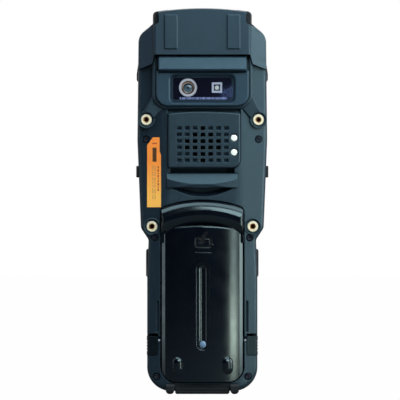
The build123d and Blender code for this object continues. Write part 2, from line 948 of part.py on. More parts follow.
def louvre(x, z):
    """Shallow cell with a floor that slopes out at its lower edge."""
    top = z + cell_h / 2
    low = z - cell_h / 2
    section = polygon([(-cover_depth - 1, top), (-cover_depth + louvre_depth, top),
                       (-cover_depth + louvre_depth, top - louvre_ledge), (-cover_depth, low),
                       (-cover_depth - 1, low)])
    return Pos(x, 0, 0) * across(section, cell_w / 2)


def speaker_cover():
    """Raised panel with the grille, seated in a recess of the rear housing."""
    cover = prism(cover_outline(), cover_recess - back_depth, -cover_depth)
    cover = fillet(cover.faces().sort_by(Axis.Y)[0].edges(), 0.9)
    cuts = []
    for x, z, is_open in grille_cells():
        if is_open:
            cuts.append(block(x - cell_w / 2, x + cell_w / 2, -cover_depth - 1, -1,
                              z - cell_h / 2, z + cell_h / 2))
        else:
            cuts.append(louvre(x, z))
    for z in pin_heights():
        cuts.append(rod(pin_x, z, pin_recess_d, -cover_depth + 0.8, -cover_depth - 1))
        cuts.append(rod(pin_x, z, pin_d + 2 * fit, 0, -cover_depth - 1))
    return cover - cuts


def pin_heights():
    """Heights of the two contact pins."""
    middle = wide_z + pin_rise
    return [middle - pin_pitch / 2, middle + pin_pitch / 2]


def grip_contact_pins():
    """Contact pins for a grip or cradle."""
    pins = []
    for z in pin_heights():
        pin = rod(pin_x, z, pin_d, cover_recess - back_depth, -cover_depth + 0.1)
        pins.append(fillet(pin.faces().sort_by(Axis.Y)[0].edges(), 0.6))
    return group(pins)


def speaker_driver():
    """Loudspeaker behind the grille."""
    back = cover_recess - back_depth
    outline = Pos(grille_x, grille_z) * RectangleRounded(driver_w - 2 * fit, driver_h - 2 * fit, 1.0)
    body = prism(outline, back + 1.0 + driver_thick, back + 1.0)
    rim = outline - Pos(grille_x, grille_z) * RectangleRounded(driver_w - 4, driver_h - 4, 1.0)
    return body + prism(rim, back + 1.0, back)


# ---------------------------------------------------------------- small pieces
def grip_inserts():
    """Brass threaded inserts with flanges."""
    solids = []
    for x, z in inserts:
        face = -boss_depth + insert_recess
        body = rod(x, z, insert_body_d, -boss_depth + insert_length, face)
        flange = rod(x, z, insert_d, face, face - insert_flange)
        flange = chamfer(flange.faces().sort_by(Axis.Y)[0].edges(), 0.3)
        hole = rod(x, z, insert_hole_d, 0, -cap_depth)
        lead = Pos(x, face - insert_flange + 0.25, z) * Rot(90, 0, 0) * Cone(
            insert_hole_d / 2, insert_hole_d / 2 + 0.5, 0.5)
        solids.append(body + flange - hole - lead)
    return group(solids)


def housing_screws():
    """Screws that clamp the housings together."""
    solids = []
    for x, z in screws:
        seat = back_y(x) + screw_sink
        head = rod(x, z, screw_head_d, seat, seat - screw_head_h)
        head = chamfer(head.faces().sort_by(Axis.Y)[0].edges(), 0.35)
        socket = prism(Pos(x, z) * RegularPolygon(0.9, 6), seat - 0.5, seat - screw_head_h - 1)
        shank = rod(x, z, screw_d, screw_reach, seat)
        solids.append(head + shank - socket)
    return group(solids)


def rating_label():
    """Label on the left flank, which it follows."""
    label = prism(label_outline(), 0, -cap_depth)
    lower = upright(back_section(), 0, top_z)
    upper = upright(Pos(0, -label_thick) * back_section(), 0, top_z)
    return label & (upper - lower)


def strap_bar():
    """Rounded bar across the strap recess."""
    low = wide_z + bar_low
    high = low + bar_height
    front = -bar_depth + bar_thick
    profile = make_face(FilletPolyline(
        (front, low), (front, high), (-bar_top_depth, high), (-bar_depth, low + 1.8), (-bar_depth + 0.8, low),
        radius=[0.4, 0.4, 1.2, 1.2, 0.5], close=True))
    bar = across(profile, bar_half)
    crown = make_face([ThreePointArc((-bar_half, -bar_end_depth), (0, -bar_depth), (bar_half, -bar_end_depth)),
                       Polyline((bar_half, -bar_end_depth), (bar_half, 0), (-bar_half, 0),
                                (-bar_half, -bar_end_depth))])
    return bar & upright(crown, low - 5, high + 5)


def strap_lugs():
    """Two lugs with cross holes, for the lower end of a hand strap."""
    back = -lug_back
    front = back + lug_depth
    section = make_face(FilletPolyline(
        (front, 0), (back, 0), (back, lug_height), (front, lug_height),
        radius=[0.8, lug_r, lug_r, 0.0], close=True))
    lug = Pos(lug_x, 0, 0) * across(section, lug_width / 2)
    tip = panel(lug_x - lug_width / 2, lug_x + lug_width / 2, 0, 2 * lug_height, lug_tip_r)
    lug = lug & prism(tip, front + 1, back - 1)
    hole = Pos(lug_x, back + lug_hole_in, lug_hole_z) * Rot(0, 90, 0) * Cylinder(
        lug_hole_d / 2, 2 * lug_width)
    return group(both_sides(lug - hole))


def dock_connector():
    """Bar at the lower end with the charging and data contacts."""
    bar = block(-dock_half, dock_half, -dock_back, dock_front, 0, dock_height)
    ends = [e for e in bar.edges() if e.center().Z < 0.01]
    bar = chamfer(ends, 0.8)
    first = -(pad_count - 1) / 2 * pad_pitch
    wells = [block(first + i * pad_pitch - pad_w / 2, first + i * pad_pitch + pad_w / 2,
                   -pad_l / 2, pad_l / 2, -1, pad_recess) for i in range(pad_count)]
    ribs = [block(-dock_half - 1, dock_half + 1, -dock_back - 1, -dock_back + dock_rib_depth,
                  z - dock_rib_h / 2, z + dock_rib_h / 2) for z in dock_rib_z]
    return bar - wells - ribs


def housing_seal():
    """Rubber ring between the housings."""
    ring = prism(seal_ring(), seal_depth, -seal_depth)
    return ring - block(-dock_half - 0.5, dock_half + 0.5, -5, 5, -1, dock_height + 1)


# ---------------------------------------------------------------- battery
def pack_section(inset=0.0):
    """Cross-section of the battery's shell: a gentle arch with a sloping strip along each side."""
    half = pack_half - inset
    strip = half - pack_strip
    front = -pack_floor_depth - gap
    edge = inset - pack_edge_depth
    side = edge + pack_strip_drop
    deep = inset - pack_depth
    arch = ThreePointArc((-strip, edge), (0, deep), (strip, edge))
    sides = Polyline((strip, edge), (half, side), (half, front), (-half, front), (-half, side), (-strip, edge))
    face = make_face([arch] + list(sides.edges()))
    corners = [v for v in face.vertices() if abs(v.Y - side) < 0.01]
    return fillet(corners, pack_strip_r)


def arch_y(x):
    """Depth of the battery cover's arch at x."""
    sag = pack_depth - pack_edge_depth
    half = pack_half - pack_strip
    radius = (half ** 2 + sag ** 2) / (2 * sag)
    return pack_depth - radius + (radius ** 2 - x ** 2) ** 0.5


def battery_shell():
    """Outer shell of the battery pack, open towards the bay."""
    outline = pack_outline()
    front = -pack_floor_depth - gap
    cover_top = wide_z + cover_rise
    cover = prism(outline, front, -cap_depth) & upright(pack_section(), 0, top_z)
    cover = cover & prism(Pos(0, cover_top - cover_arc_r) * Circle(cover_arc_r), front, -cap_depth)
    lip = [e for e in cover.edges() if e.center().Z > cover_top - 5 and e.bounding_box().size.X > 20
           and e.center().Y < -pack_edge_depth]
    cover = fillet(lip, 1.0)
    hump = prism(outline, front, -cap_depth) & hump_solid()
    hump = hump & upright(hump_section(), 0, top_z)
    shell = cover + hump
    inner = prism(offset(outline, -shell_wall), front + 1, -hump_valley_depth + shell_wall)
    shell -= inner
    room = upright(pack_section(shell_roof), pack_bottom + shell_wall, wide_z - 1.0)
    shell -= room & prism(offset(outline, -shell_wall), front + 1, -cap_depth)
    shell -= groove_cuts()
    shell -= icon_cut()
    shell += nubs()
    return shell


def hump_section():
    """Cross-section that rounds off the hump's two ends."""
    front = -pack_floor_depth - gap
    return make_face(FilletPolyline(
        (pack_half, front), (pack_half, -hump_side_depth), (-pack_half, -hump_side_depth), (-pack_half, front),
        radius=[0, hump_side_r, hump_side_r, 0], close=True))


def hump_solid():
    """Roll swept about the centre of the pack's upper arc."""
    out = pack_arc_r
    front = -pack_floor_depth - gap
    lip = (out, -hump_lip_depth)
    valley = (out - hump_valley_in, -hump_valley_depth)
    end = out - hump_end_in
    profile = make_face([ThreePointArc(lip, (out - hump_crest_in, -hump_crest_depth), valley),
                         Polyline(valley, (end, -hump_valley_depth), (end, front), (out, front), lip)])
    corner = profile.vertices().sort_by_distance((*lip, 0))[0]
    profile = fillet(corner, hump_lip_r)
    radial = Plane(origin=(0, 0, pack_top - out), x_dir=(0, 0, 1), z_dir=(-1, 0, 0))
    axis = Axis((0, 0, pack_top - out), (0, 1, 0))
    return revolve((radial * profile).rotate(axis, -hump_turn), axis, 2 * hump_turn)


def groove_cuts():
    """Groove down the middle of the cover, with a round-bottomed channel in it."""
    middle = (groove_bottom + groove_top) / 2
    slot = Pos(groove_x, middle) * SlotOverall(groove_top - groove_bottom, 2 * groove_half, rotation=90)
    groove = prism(slot, -pack_depth + groove_depth, -pack_depth - 1)
    axis_y = -pack_depth + channel_depth - channel_r
    ends = (groove_bottom + channel_in, groove_top - channel_in)
    channel = Pos(groove_x, axis_y, middle) * Cylinder(channel_r, ends[1] - ends[0])
    balls = [Pos(groove_x, axis_y, z) * Sphere(channel_r) for z in ends]
    return [groove, channel] + balls


def icon_cut():
    """Engraved battery symbol with a bolt."""
    half_w = icon_width / 2
    half_h = icon_height / 2
    ring = RectangleRounded(icon_width, icon_height, 1.2) - RectangleRounded(
        icon_width - 2 * icon_stroke, icon_height - 2 * icon_stroke, 0.6)
    ring += Pos(half_w + icon_stroke / 2, 0) * Rectangle(icon_stroke, 2.4)
    high = half_h + icon_bolt_rise
    bolt = polygon([(1.2, high), (-2.6, -0.3), (-0.3, -0.3), (-1.5, -half_h + icon_stroke + 0.1),
                    (2.9, 1.3), (0.6, 1.3), (2.7, high)])
    line = Pos(0, -icon_line_drop) * Rectangle(icon_width, icon_line_h)
    shape = Pos(icon_x, icon_z) * (ring + bolt + line)
    return prism(shape, -pack_depth + icon_depth, -pack_depth - 1)


def nubs():
    """Two low domed nubs near the lower end."""
    y = nub_r - nub_rise - arch_y(nub_x)
    solids = []
    for side in (-1, 1):
        dome = Pos(side * nub_x, y, nub_z) * Cylinder(nub_r, 2 * nub_half)
        dome += [Pos(side * nub_x, y, nub_z + end * nub_half) * Sphere(nub_r) for end in (-1, 1)]
        solids.append(dome & block(-pack_half, pack_half, -cap_depth, nub_root - arch_y(nub_x), 0, wide_z))
    return solids


def battery_base():
    """Plate that closes the pack on the side of the bay."""
    front = -pack_floor_depth - gap
    plate = prism(offset(pack_outline(), -shell_wall - fit), front, front - base_thick)
    return plate - [prism(sketch, front + 1, front - base_thick - 1) for sketch in terminal_outlines()]


def terminal_outlines(shrink=0.0):
    """Outlines of the battery's three contacts, or of their holes."""
    shape = Rectangle(terminal_w - 2 * shrink, terminal_h - 2 * shrink)
    return [Pos(i * terminal_pitch, connector_z) * shape for i in (-1, 0, 1)]


def battery_terminals():
    """Contacts in the pack's base."""
    front = -pack_floor_depth - gap
    return group([prism(sketch, front, front - base_thick) for sketch in terminal_outlines(fit)])


def battery_cells():
    """Two prismatic cells."""
    front = -pack_floor_depth - gap - base_thick
    solids = []
    for low in (pack_bottom + shell_wall + 2, pack_bottom + shell_wall + 2 + cell_length):
        cell = block(-cell_width / 2, cell_width / 2, front - cell_thick, front, low + 0.2,
                     low + cell_length - 0.2)
        solids.append(fillet(cell.edges().filter_by(Axis.Z), 2.0))
    return group(solids)


def battery_connector():
    """Sprung connector in the floor of the bay, on the main board's side."""
    top = -pack_floor_depth
    half_h = connector_h / 2 - fit
    return block(-connector_half + fit, connector_half - fit, top, -1.0,
                 connector_z - half_h, connector_z + half_h)


# ---------------------------------------------------------------- latches and keys
def latch(side):
    """Sliding latch on a rail of the handle."""
    outline = block(latch_in, handle_half + latch_proud, -back_depth - 1, -latch_front,
                    latch_low, latch_low + latch_height)
    cover = upright(Pos(0, -latch_proud) * back_section(), 0, top_z)
    body = outline & cover
    outer = [e for e in body.edges().filter_by(Axis.Z)
             if e.center().X > handle_half and e.center().Y < -latch_front - 1]
    body = fillet(outer, edge_r)
    ridges = [block(handle_half + latch_proud - 0.3, handle_half + 2, -back_depth, -latch_front,
                    latch_low + 2.0 + i * 1.8, latch_low + 2.8 + i * 1.8) for i in range(4)]
    nose = block(pack_half + 0.35, latch_in, -latch_nose_back, -latch_nose_back + latch_nose_depth,
                 latch_low + latch_nose_low, latch_low + latch_nose_low + latch_nose_height)
    body = body - ridges + nose
    return body if side > 0 else mirror(body, about=Plane.YZ)


def side_button(inner, outer, z0, height, depth, width, radius, edge, side):
    """Button through a side wall, with a rounded outer face."""
    sketch = Plane.YZ * (Pos(-depth, z0 + height / 2) * RectangleRounded(width, height, radius))
    body = extrude(Pos(inner, 0, 0) * sketch, amount=outer - inner)
    body = fillet(body.faces().sort_by(Axis.X)[-1].edges(), edge)
    return body if side > 0 else mirror(body, about=Plane.YZ)


def key_list():
    """Every key as its name, centre, size and corner radius; +X is on the user's left."""
    keys = [("key_scan", 0.0, scan_key_z, scan_key_w, scan_key_h, 3.5)]
    keys += [
        ("key_up", 0.0, scan_key_z + arrow_reach_z, arrow_long, arrow_short, 2.0),
        ("key_down", 0.0, scan_key_z - arrow_reach_z, arrow_long, arrow_short, 2.0),
        ("key_left", arrow_reach_x, scan_key_z, arrow_short, arrow_long, 2.0),
        ("key_right", -arrow_reach_x, scan_key_z, arrow_short, arrow_long, 2.0),
    ]
    corners = (("key_menu", -1, 1), ("key_power", 1, 1), ("key_back", -1, -1), ("key_enter", 1, -1))
    for name, sx, sz in corners:
        keys.append((name, sx * corner_key_x, scan_key_z + sz * corner_key_z, corner_key_w,
                     corner_key_h, key_r))
    names = ("star", "0", "hash", "7", "8", "9", "4", "5", "6", "1", "2", "3")
    for i, name in enumerate(names):
        column = 1 - i % 3
        row = i // 3
        keys.append(("key_" + name, column * key_pitch_x, number_low + row * key_pitch_z,
                     key_w, key_h, key_r))
    return keys


def key_cap(x, z, w, h, r):
    """Keycap with rounded upper edges."""
    cap = prism(Pos(x, z) * RectangleRounded(w, h, r), key_top, key_bottom)
    return fillet(cap.faces().sort_by(Axis.Y)[-1].edges(), 0.8)


# ---------------------------------------------------------------- display side
def touch_glass():
    """Cover glass of the display."""
    glass = prism(glass_outline(), glass_face, glass_back)
    return chamfer(glass.faces().sort_by(Axis.Y)[-1].edges(), 0.25)


def display_gasket():
    """Adhesive frame under the glass."""
    ring = glass_outline() - glass_outline(-ledge)
    return prism(ring, glass_back, glass_back - gasket_thick)


def display_panel():
    """Display module bonded to the back of the glass."""
    outline = panel(-panel_half, panel_half, wide_z + panel_low, wide_z + panel_high, 0.5)
    return prism(outline, glass_back, glass_back - panel_thick)


def main_board():
    """Circuit board on its posts, running the whole length."""
    outline = panel(-board_half, board_half, board_low, seam_z - board_top_drop, 2.0)
    board = prism(outline, board_face, board_depth)
    chips = [block(-12, 2, board_depth - 1.2, board_depth, wide_z + 44, wide_z + 58),
             block(6, 16, board_depth - 1.0, board_depth, wide_z + 46, wide_z + 56),
             block(-8, 8, board_depth - 1.6, board_depth, wide_z + 66, wide_z + 72)]
    return board + chips


def keypad_mat():
    """Silicone mat with the key contacts, on the board."""
    outline = panel(-board_half, board_half, board_low + 1, wide_z + glass_low - ledge - 5, 2.0)
    return prism(outline, board_face + mat_thick, board_face)


def light_places():
    """Places of the status lights."""
    return [(light_x + i * light_pitch - light_pitch / 2, wide_z + ear_slot_rise) for i in range(2)]


def status_lights():
    """Light pipes of the status lights."""
    return group([rod(x, z, light_d, face_depth, face_depth - wall) for x, z in light_places()])


def side_bumpers():
    """Rubber bumpers on the sides of the front housing."""
    z = wide_z + bumper_rise
    inner = cap_half - wall
    lens = make_face(FilletPolyline(
        (inner, z - bumper_below), (cap_half, z - bumper_below), (bumper_half, z - bumper_below / 2),
        (bumper_half, z + bumper_below / 2), (cap_half - 0.2, z + bumper_above), (inner, z + bumper_above),
        radius=[0, 0.4, 1.0, 4.0, 0, 0], close=True))
    pad = prism(lens, bumper_width, 1.0) - prism(housing_outline(), bumper_width + 1, -1)
    return group(both_sides(pad))


# ---------------------------------------------------------------- write the nodes
def nodes():
    """Every node of the terminal by name."""
    made = {
        "rear_housing": rear_housing(),
        "front_housing": front_housing(),
        "top_cap": top_cap(),
        "cap_corner_pads": cap_corner_pads(),
        "scan_window": scan_window(),
        "scan_engine": scan_engine(),
        "camera_frame": camera_frame(),
        "camera_window": camera_window(),
        "camera_module": camera_module(),
        "camera_trim_ring": camera_trim_ring(),
        "flash_led": flash_led(),
        "speaker_cover": speaker_cover(),
        "speaker_driver": speaker_driver(),
        "grip_contact_pins": grip_contact_pins(),
        "grip_inserts": grip_inserts(),
        "housing_screws": housing_screws(),
        "rating_label": rating_label(),
        "strap_bar": strap_bar(),
        "strap_lugs": strap_lugs(),
        "dock_connector": dock_connector(),
        "housing_seal": housing_seal(),
        "battery_shell": battery_shell(),
        "battery_base": battery_base(),
        "battery_cells": battery_cells(),
        "battery_terminals": battery_terminals(),
        "battery_connector": battery_connector(),
        "touch_glass": touch_glass(),
        "display_gasket": display_gasket(),
        "display_panel": display_panel(),
        "main_board": main_board(),
        "keypad_mat": keypad_mat(),
        "status_lights": status_lights(),
        "side_bumpers": side_bumpers(),
    }
    for name, side in (("left", -1), ("right", 1)):
        made["latch_" + name] = latch(side)
        made["side_trigger_" + name] = side_button(
            trigger_in, trigger_out, trigger_low, trigger_height, trigger_centre_depth,
            trigger_width, 3.0, trigger_r, side)
        made["side_key_" + name] = side_button(
            side_key_in, side_key_out, wide_z + side_key_rise, side_key_height,
            side_key_centre_depth, side_key_width, 1.2, side_key_r, side)
    for name, x, z, w, h, r in key_list():
        made[name] = key_cap(x, z, w, h, r)
    return made


def main():
    """Write one STEP file per node."""
    os.makedirs("parts", exist_ok=True)
    for node, solid in nodes().items():
        export_step(solid, "parts/" + node + ".step")


if __name__ == "__main__":
    main()
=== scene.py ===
import json
import math

import bmesh
import bpy
from mathutils import Matrix, Vector


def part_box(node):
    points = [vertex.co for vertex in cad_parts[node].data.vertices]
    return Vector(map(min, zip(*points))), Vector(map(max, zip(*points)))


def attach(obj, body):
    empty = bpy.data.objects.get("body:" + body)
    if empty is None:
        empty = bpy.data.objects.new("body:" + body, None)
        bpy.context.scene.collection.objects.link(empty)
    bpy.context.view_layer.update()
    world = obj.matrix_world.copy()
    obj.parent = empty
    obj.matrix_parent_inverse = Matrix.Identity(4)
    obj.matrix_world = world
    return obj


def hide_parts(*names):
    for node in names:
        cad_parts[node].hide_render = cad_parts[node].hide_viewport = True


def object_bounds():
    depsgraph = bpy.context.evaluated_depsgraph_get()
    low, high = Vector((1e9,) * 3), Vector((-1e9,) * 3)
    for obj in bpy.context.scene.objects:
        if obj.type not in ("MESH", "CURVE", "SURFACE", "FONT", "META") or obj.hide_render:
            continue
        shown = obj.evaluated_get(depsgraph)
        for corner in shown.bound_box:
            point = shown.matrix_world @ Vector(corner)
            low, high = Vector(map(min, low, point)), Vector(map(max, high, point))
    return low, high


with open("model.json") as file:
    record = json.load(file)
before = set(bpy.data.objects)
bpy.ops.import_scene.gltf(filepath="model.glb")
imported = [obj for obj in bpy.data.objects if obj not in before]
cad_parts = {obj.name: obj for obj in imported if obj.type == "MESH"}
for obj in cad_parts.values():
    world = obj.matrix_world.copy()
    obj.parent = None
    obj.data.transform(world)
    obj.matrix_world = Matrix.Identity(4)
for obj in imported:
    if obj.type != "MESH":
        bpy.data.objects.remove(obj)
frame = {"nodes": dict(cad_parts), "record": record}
cad_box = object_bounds()
nodes = frame["nodes"]
mounts = {mount["name"]: mount for mount in frame["record"]["mounts"]}
mm = 0.001                   # metres in a millimetre
ROOT = "terminal"
BATTERY = "battery_pack"

# ---------------------------------------------------------------- camera and light values
# lengths in metres and angles in degrees
view_distance = 2.0
view_height = 0.228          # height of the picture at the object
view_end = 20.0              # farthest that the camera sees
picture_x = -1.3 * mm        # middle of the picture
picture_z = 109.9 * mm
sensor = 36.0                # camera sensor, in millimetres
aim = Vector((picture_x, 0.0, picture_z))
front_dim = 0.015            # world's strength on the camera's side
back_bright = 0.4            # world's strength behind the object
sky_front = 0.15             # direction's Y where the world starts to brighten
sky_back = 0.7               # direction's Y where it is fully bright
floor_size = 3.0             # half of the floor's side
floor_shade = 0.14           # grey of the floor as it lights the object
floor_white = 0.99           # share of white that the camera sees on it
floor_rough = 0.9
lamps = (                    # name, azimuth, elevation, distance, width, height, radiance, colour
    ("key_softbox", 20, 32, 0.90, 0.54, 0.48, 9.2, (0.76, 0.92, 1.0)),
    ("overhead_softbox", 8, 72, 0.90, 1.00, 0.50, 4.6, (0.70, 0.88, 1.0)),
    ("right_softbox", 36, 0, 0.40, 0.040, 0.46, 6.0, (0.90, 1.0, 0.98)),
    ("right_low_softbox", 36, -16, 0.35, 0.042, 0.07, 9.0, (1.0, 1.0, 0.86)),
    ("right_side_softbox", 73, 5, 0.50, 0.20, 0.60, 7.5, (0.88, 0.98, 1.0)),
    ("left_side_softbox", -73, 15, 0.50, 0.07, 0.60, 3.0, (0.86, 0.90, 1.0)),
)
glint_distance = 1.0         # lamp whose image lies in the camera window
glint_radiance = 6.0
glint_colour = (0.28, 0.45, 1.0)
glint_width = 15 * mm
glint_height = 8 * mm
glint_roll = 18.0
glint_x = 15.2 * mm          # where it shows in the camera window
glint_z = 170.6 * mm

# ---------------------------------------------------------------- colours, as sRGB
housing_colour = (14, 23, 34)
cap_colour = (16, 26, 39)
frame_colour = (24, 39, 53)
latch_colour = (5, 9, 14)
rubber_colour = (8, 9, 13)
battery_colour = (3, 5, 13)
# pale dome at the end of the battery's channel: painted highlight
bead_highlight_colour = (92, 116, 140)
key_colour = (26, 29, 34)
scan_key_colour = (214, 128, 20)
label_colour = (252, 142, 58)
label_low_colour = (255, 182, 82)
label_ink = (78, 50, 26)
label_red = (188, 84, 38)
label_grey = (186, 138, 82)
legend_white = (226, 230, 232)
legend_dark = (24, 20, 16)
legend_amber = (232, 150, 40)


# ---------------------------------------------------------------- material helpers
def linear(colour):
    """Linear RGBA of an sRGB colour given as 0 to 255."""
    def channel(value):
        c = value / 255
        return c / 12.92 if c <= 0.04045 else ((c + 0.055) / 1.055) ** 2.4
    return tuple(channel(v) for v in colour) + (1.0,)


class Finish:
    """A node material on one Principled shader, with helpers for its textures."""

    def __init__(self, name, colour, rough, **sockets):
        self.material = bpy.data.materials.new(name)
        self.material.use_nodes = True
        self.tree = self.material.node_tree
        self.shader = self.tree.nodes["Principled BSDF"]
        self.colour = linear(colour)
        self.rough = rough
        self.shader.inputs["Base Color"].default_value = self.colour
        self.shader.inputs["Roughness"].default_value = rough
        for key, value in sockets.items():
            self.shader.inputs[key.replace("_", " ")].default_value = value
        self.coords = self.add("ShaderNodeTexCoord").outputs["Object"]
        self.normal = None

    def add(self, kind, **settings):
        node = self.tree.nodes.new(kind)
        for key, value in settings.items():
            setattr(node, key, value)
        return node

    def link(self, source, target):
        self.tree.links.new(source, target)

    def math(self, operation, a, b):
        node = self.add("ShaderNodeMath", operation=operation)
        for socket, value in zip(node.inputs, (a, b)):
            if isinstance(value, (int, float)):
                socket.default_value = value
            else:
                self.link(value, socket)
        return node.outputs[0]

    def noise(self, size, detail=2.0, stretch=(1.0, 1.0, 1.0)):
        """Noise with features of about that size in millimetres."""
        mapping = self.add("ShaderNodeMapping")
        mapping.inputs["Scale"].default_value = [s / (size * mm) for s in stretch]
        self.link(self.coords, mapping.inputs["Vector"])
        node = self.add("ShaderNodeTexNoise")
        node.inputs["Scale"].default_value = 1.0
        node.inputs["Detail"].default_value = detail
        self.link(mapping.outputs["Vector"], node.inputs["Vector"])
        return node.outputs["Fac"]

    def spread(self, source, low, high, from_low=0.3, from_high=0.7):
        """Maps a texture's middle range onto low to high."""
        node = self.add("ShaderNodeMapRange")
        node.inputs["From Min"].default_value = from_low
        node.inputs["From Max"].default_value = from_high
        node.inputs["To Min"].default_value = low
        node.inputs["To Max"].default_value = high
        self.link(source, node.inputs["Value"])
        return node.outputs["Result"]

    def mix(self, factor, a, b):
        """Mixes two colours, each a socket or a value."""
        node = self.add("ShaderNodeMix", data_type="RGBA")
        # the node has an A, a B and a Result for each kind of value, so colour's go by number
        colour_a, colour_b, result = node.inputs[6], node.inputs[7], node.outputs[2]
        self.link(factor, node.inputs["Factor"])
        for socket, value in ((colour_a, a), (colour_b, b)):
            if isinstance(value, tuple):
                socket.default_value = value
            else:
                self.link(value, socket)
        return result

    def mottle(self, size, low=0.8, high=1.25):
        """Slight cloudiness of the colour."""
        shades = [tuple(c * k for c in self.colour[:3]) + (1.0,) for k in (low, high)]
        self.paint = self.mix(self.noise(size, 4.0), *shades)
        self.link(self.paint, self.shader.inputs["Base Color"])
        return self

    def fade(self, colour, low, high):
        """Turns the colour into another one between two heights in metres."""
        split = self.add("ShaderNodeSeparateXYZ")
        self.link(self.coords, split.inputs[0])
        share = self.spread(split.outputs["Z"], 0.0, 1.0, low, high)
        self.paint = self.mix(share, self.paint, linear(colour))
        self.link(self.paint, self.shader.inputs["Base Color"])
        return self

    def uneven(self, size, amount):
        """Slight unevenness of the roughness."""
        varied = self.spread(self.noise(size, 3.0), self.rough - amount, self.rough + amount)
        self.link(varied, self.shader.inputs["Roughness"])
        return self

    def soften(self, radius):
        """Rounds the edges in the shading."""
        bevel = self.add("ShaderNodeBevel", samples=6)
        bevel.inputs["Radius"].default_value = radius * mm
        self.normal = bevel.outputs["Normal"]
        self.link(self.normal, self.shader.inputs["Normal"])
        return self

    def wear(self, colour, radius, amount):
        """Lighter, rubbed edges."""
        sharp, flat = 0.72, 0.97     # how far the rounded normal agrees with the true one
        patch_size = 2.2             # of the rubbing, in millimetres
        bevel = self.add("ShaderNodeBevel", samples=6)
        bevel.inputs["Radius"].default_value = radius * mm
        dot = self.add("ShaderNodeVectorMath", operation="DOT_PRODUCT")
        self.link(bevel.outputs["Normal"], dot.inputs[0])
        self.link(self.add("ShaderNodeNewGeometry").outputs["Normal"], dot.inputs[1])
        edge = self.spread(dot.outputs["Value"], amount, 0.0, sharp, flat)
        patchy = self.math("MULTIPLY", edge, self.spread(self.noise(patch_size, 4.0), 0.2, 1.0))
        self.link(self.mix(patchy, self.paint, linear(colour)), self.shader.inputs["Base Color"])
        return self

    def grain(self, size, depth, strength=0.5, detail=2.0, stretch=(1.0, 1.0, 1.0)):
        """Moulded texture of that size and depth in millimetres."""
        bump = self.add("ShaderNodeBump")
        bump.inputs["Strength"].default_value = strength
        bump.inputs["Distance"].default_value = depth * mm
        self.link(self.noise(size, detail, stretch), bump.inputs["Height"])
        if self.normal:
            self.link(self.normal, bump.inputs["Normal"])
        self.normal = bump.outputs["Normal"]
        self.link(self.normal, self.shader.inputs["Normal"])
        return self


# ---------------------------------------------------------------- materials
def moulded_finishes():
    """Plastics and rubbers of the shells, the battery and the keys."""
    cool = (0.62, 0.92, 1.0, 1.0)
    return {
        "housing": (Finish("housing_plastic", housing_colour, 0.44, Specular_Tint=cool,
                           Specular_IOR_Level=0.62)
                    .mottle(5.0).uneven(3.0, 0.05).wear((58, 70, 82), 0.5, 0.35).soften(0.35)
                    .grain(0.32, 0.03)),
        "cap": (Finish("cap_plastic", cap_colour, 0.46, Specular_Tint=cool, Specular_IOR_Level=0.62)
                .mottle(6.0).uneven(4.0, 0.05).wear((60, 74, 88), 0.6, 0.35).soften(0.4)
                .grain(0.28, 0.03)),
        "camera_frame": (Finish("camera_frame_plastic", frame_colour, 0.46, Specular_Tint=cool)
                         .mottle(5.0).uneven(3.0, 0.04).wear((74, 84, 98), 0.4, 0.35).soften(0.35)
                         .grain(0.22, 0.012)),
        "latch": (Finish("latch_plastic", latch_colour, 0.42, Specular_Tint=cool, Specular_IOR_Level=0.3)
                  .mottle(3.0).uneven(2.0, 0.05).wear((60, 66, 80), 0.4, 0.3).soften(0.3)
                  .grain(0.25, 0.02)),
        "rubber": (Finish("black_rubber", rubber_colour, 0.72, Specular_IOR_Level=0.35)
                   .mottle(3.0).uneven(2.0, 0.06).soften(0.3).grain(0.25, 0.03)),
        "battery": (Finish("battery_plastic", battery_colour, 0.17, Specular_Tint=(0.8, 1.0, 0.98, 1.0))
                    .mottle(9.0).uneven(7.0, 0.03).wear((44, 54, 70), 0.5, 0.4).soften(0.45)
                    .grain(0.5, 0.005, 0.4).grain(14.0, 0.05, 0.15)),
        "dark_plastic": (Finish("dark_plastic", (6, 9, 14), 0.6, Specular_IOR_Level=0.3)
                         .mottle(3.0).uneven(2.0, 0.05).soften(0.3).grain(0.25, 0.02)),
        # pale dome in the battery's channel: painted highlight
        "bead": (Finish("bead_painted_highlight", bead_highlight_colour, 0.35).mottle(2.0, 0.9, 1.1).uneven(1.0, 0.05)
                 .soften(0.1)),
        # near-black sheet in the battery symbol's engraving: painted shade
        "engraving_shade": (Finish("engraving_painted_shade", (3, 4, 8), 0.65, Specular_IOR_Level=0.2)
                  .mottle(1.0).uneven(0.8, 0.05)),
        "key": (Finish("key_silicone", key_colour, 0.46).mottle(3.0).uneven(2.0, 0.05)
                .wear((70, 74, 80), 0.5, 0.3).soften(0.3).grain(0.2, 0.015)),
        "scan_key": (Finish("scan_key_silicone", scan_key_colour, 0.38).mottle(4.0, 0.9, 1.08)
                     .uneven(2.0, 0.05).soften(0.3).grain(0.2, 0.012)),
    }


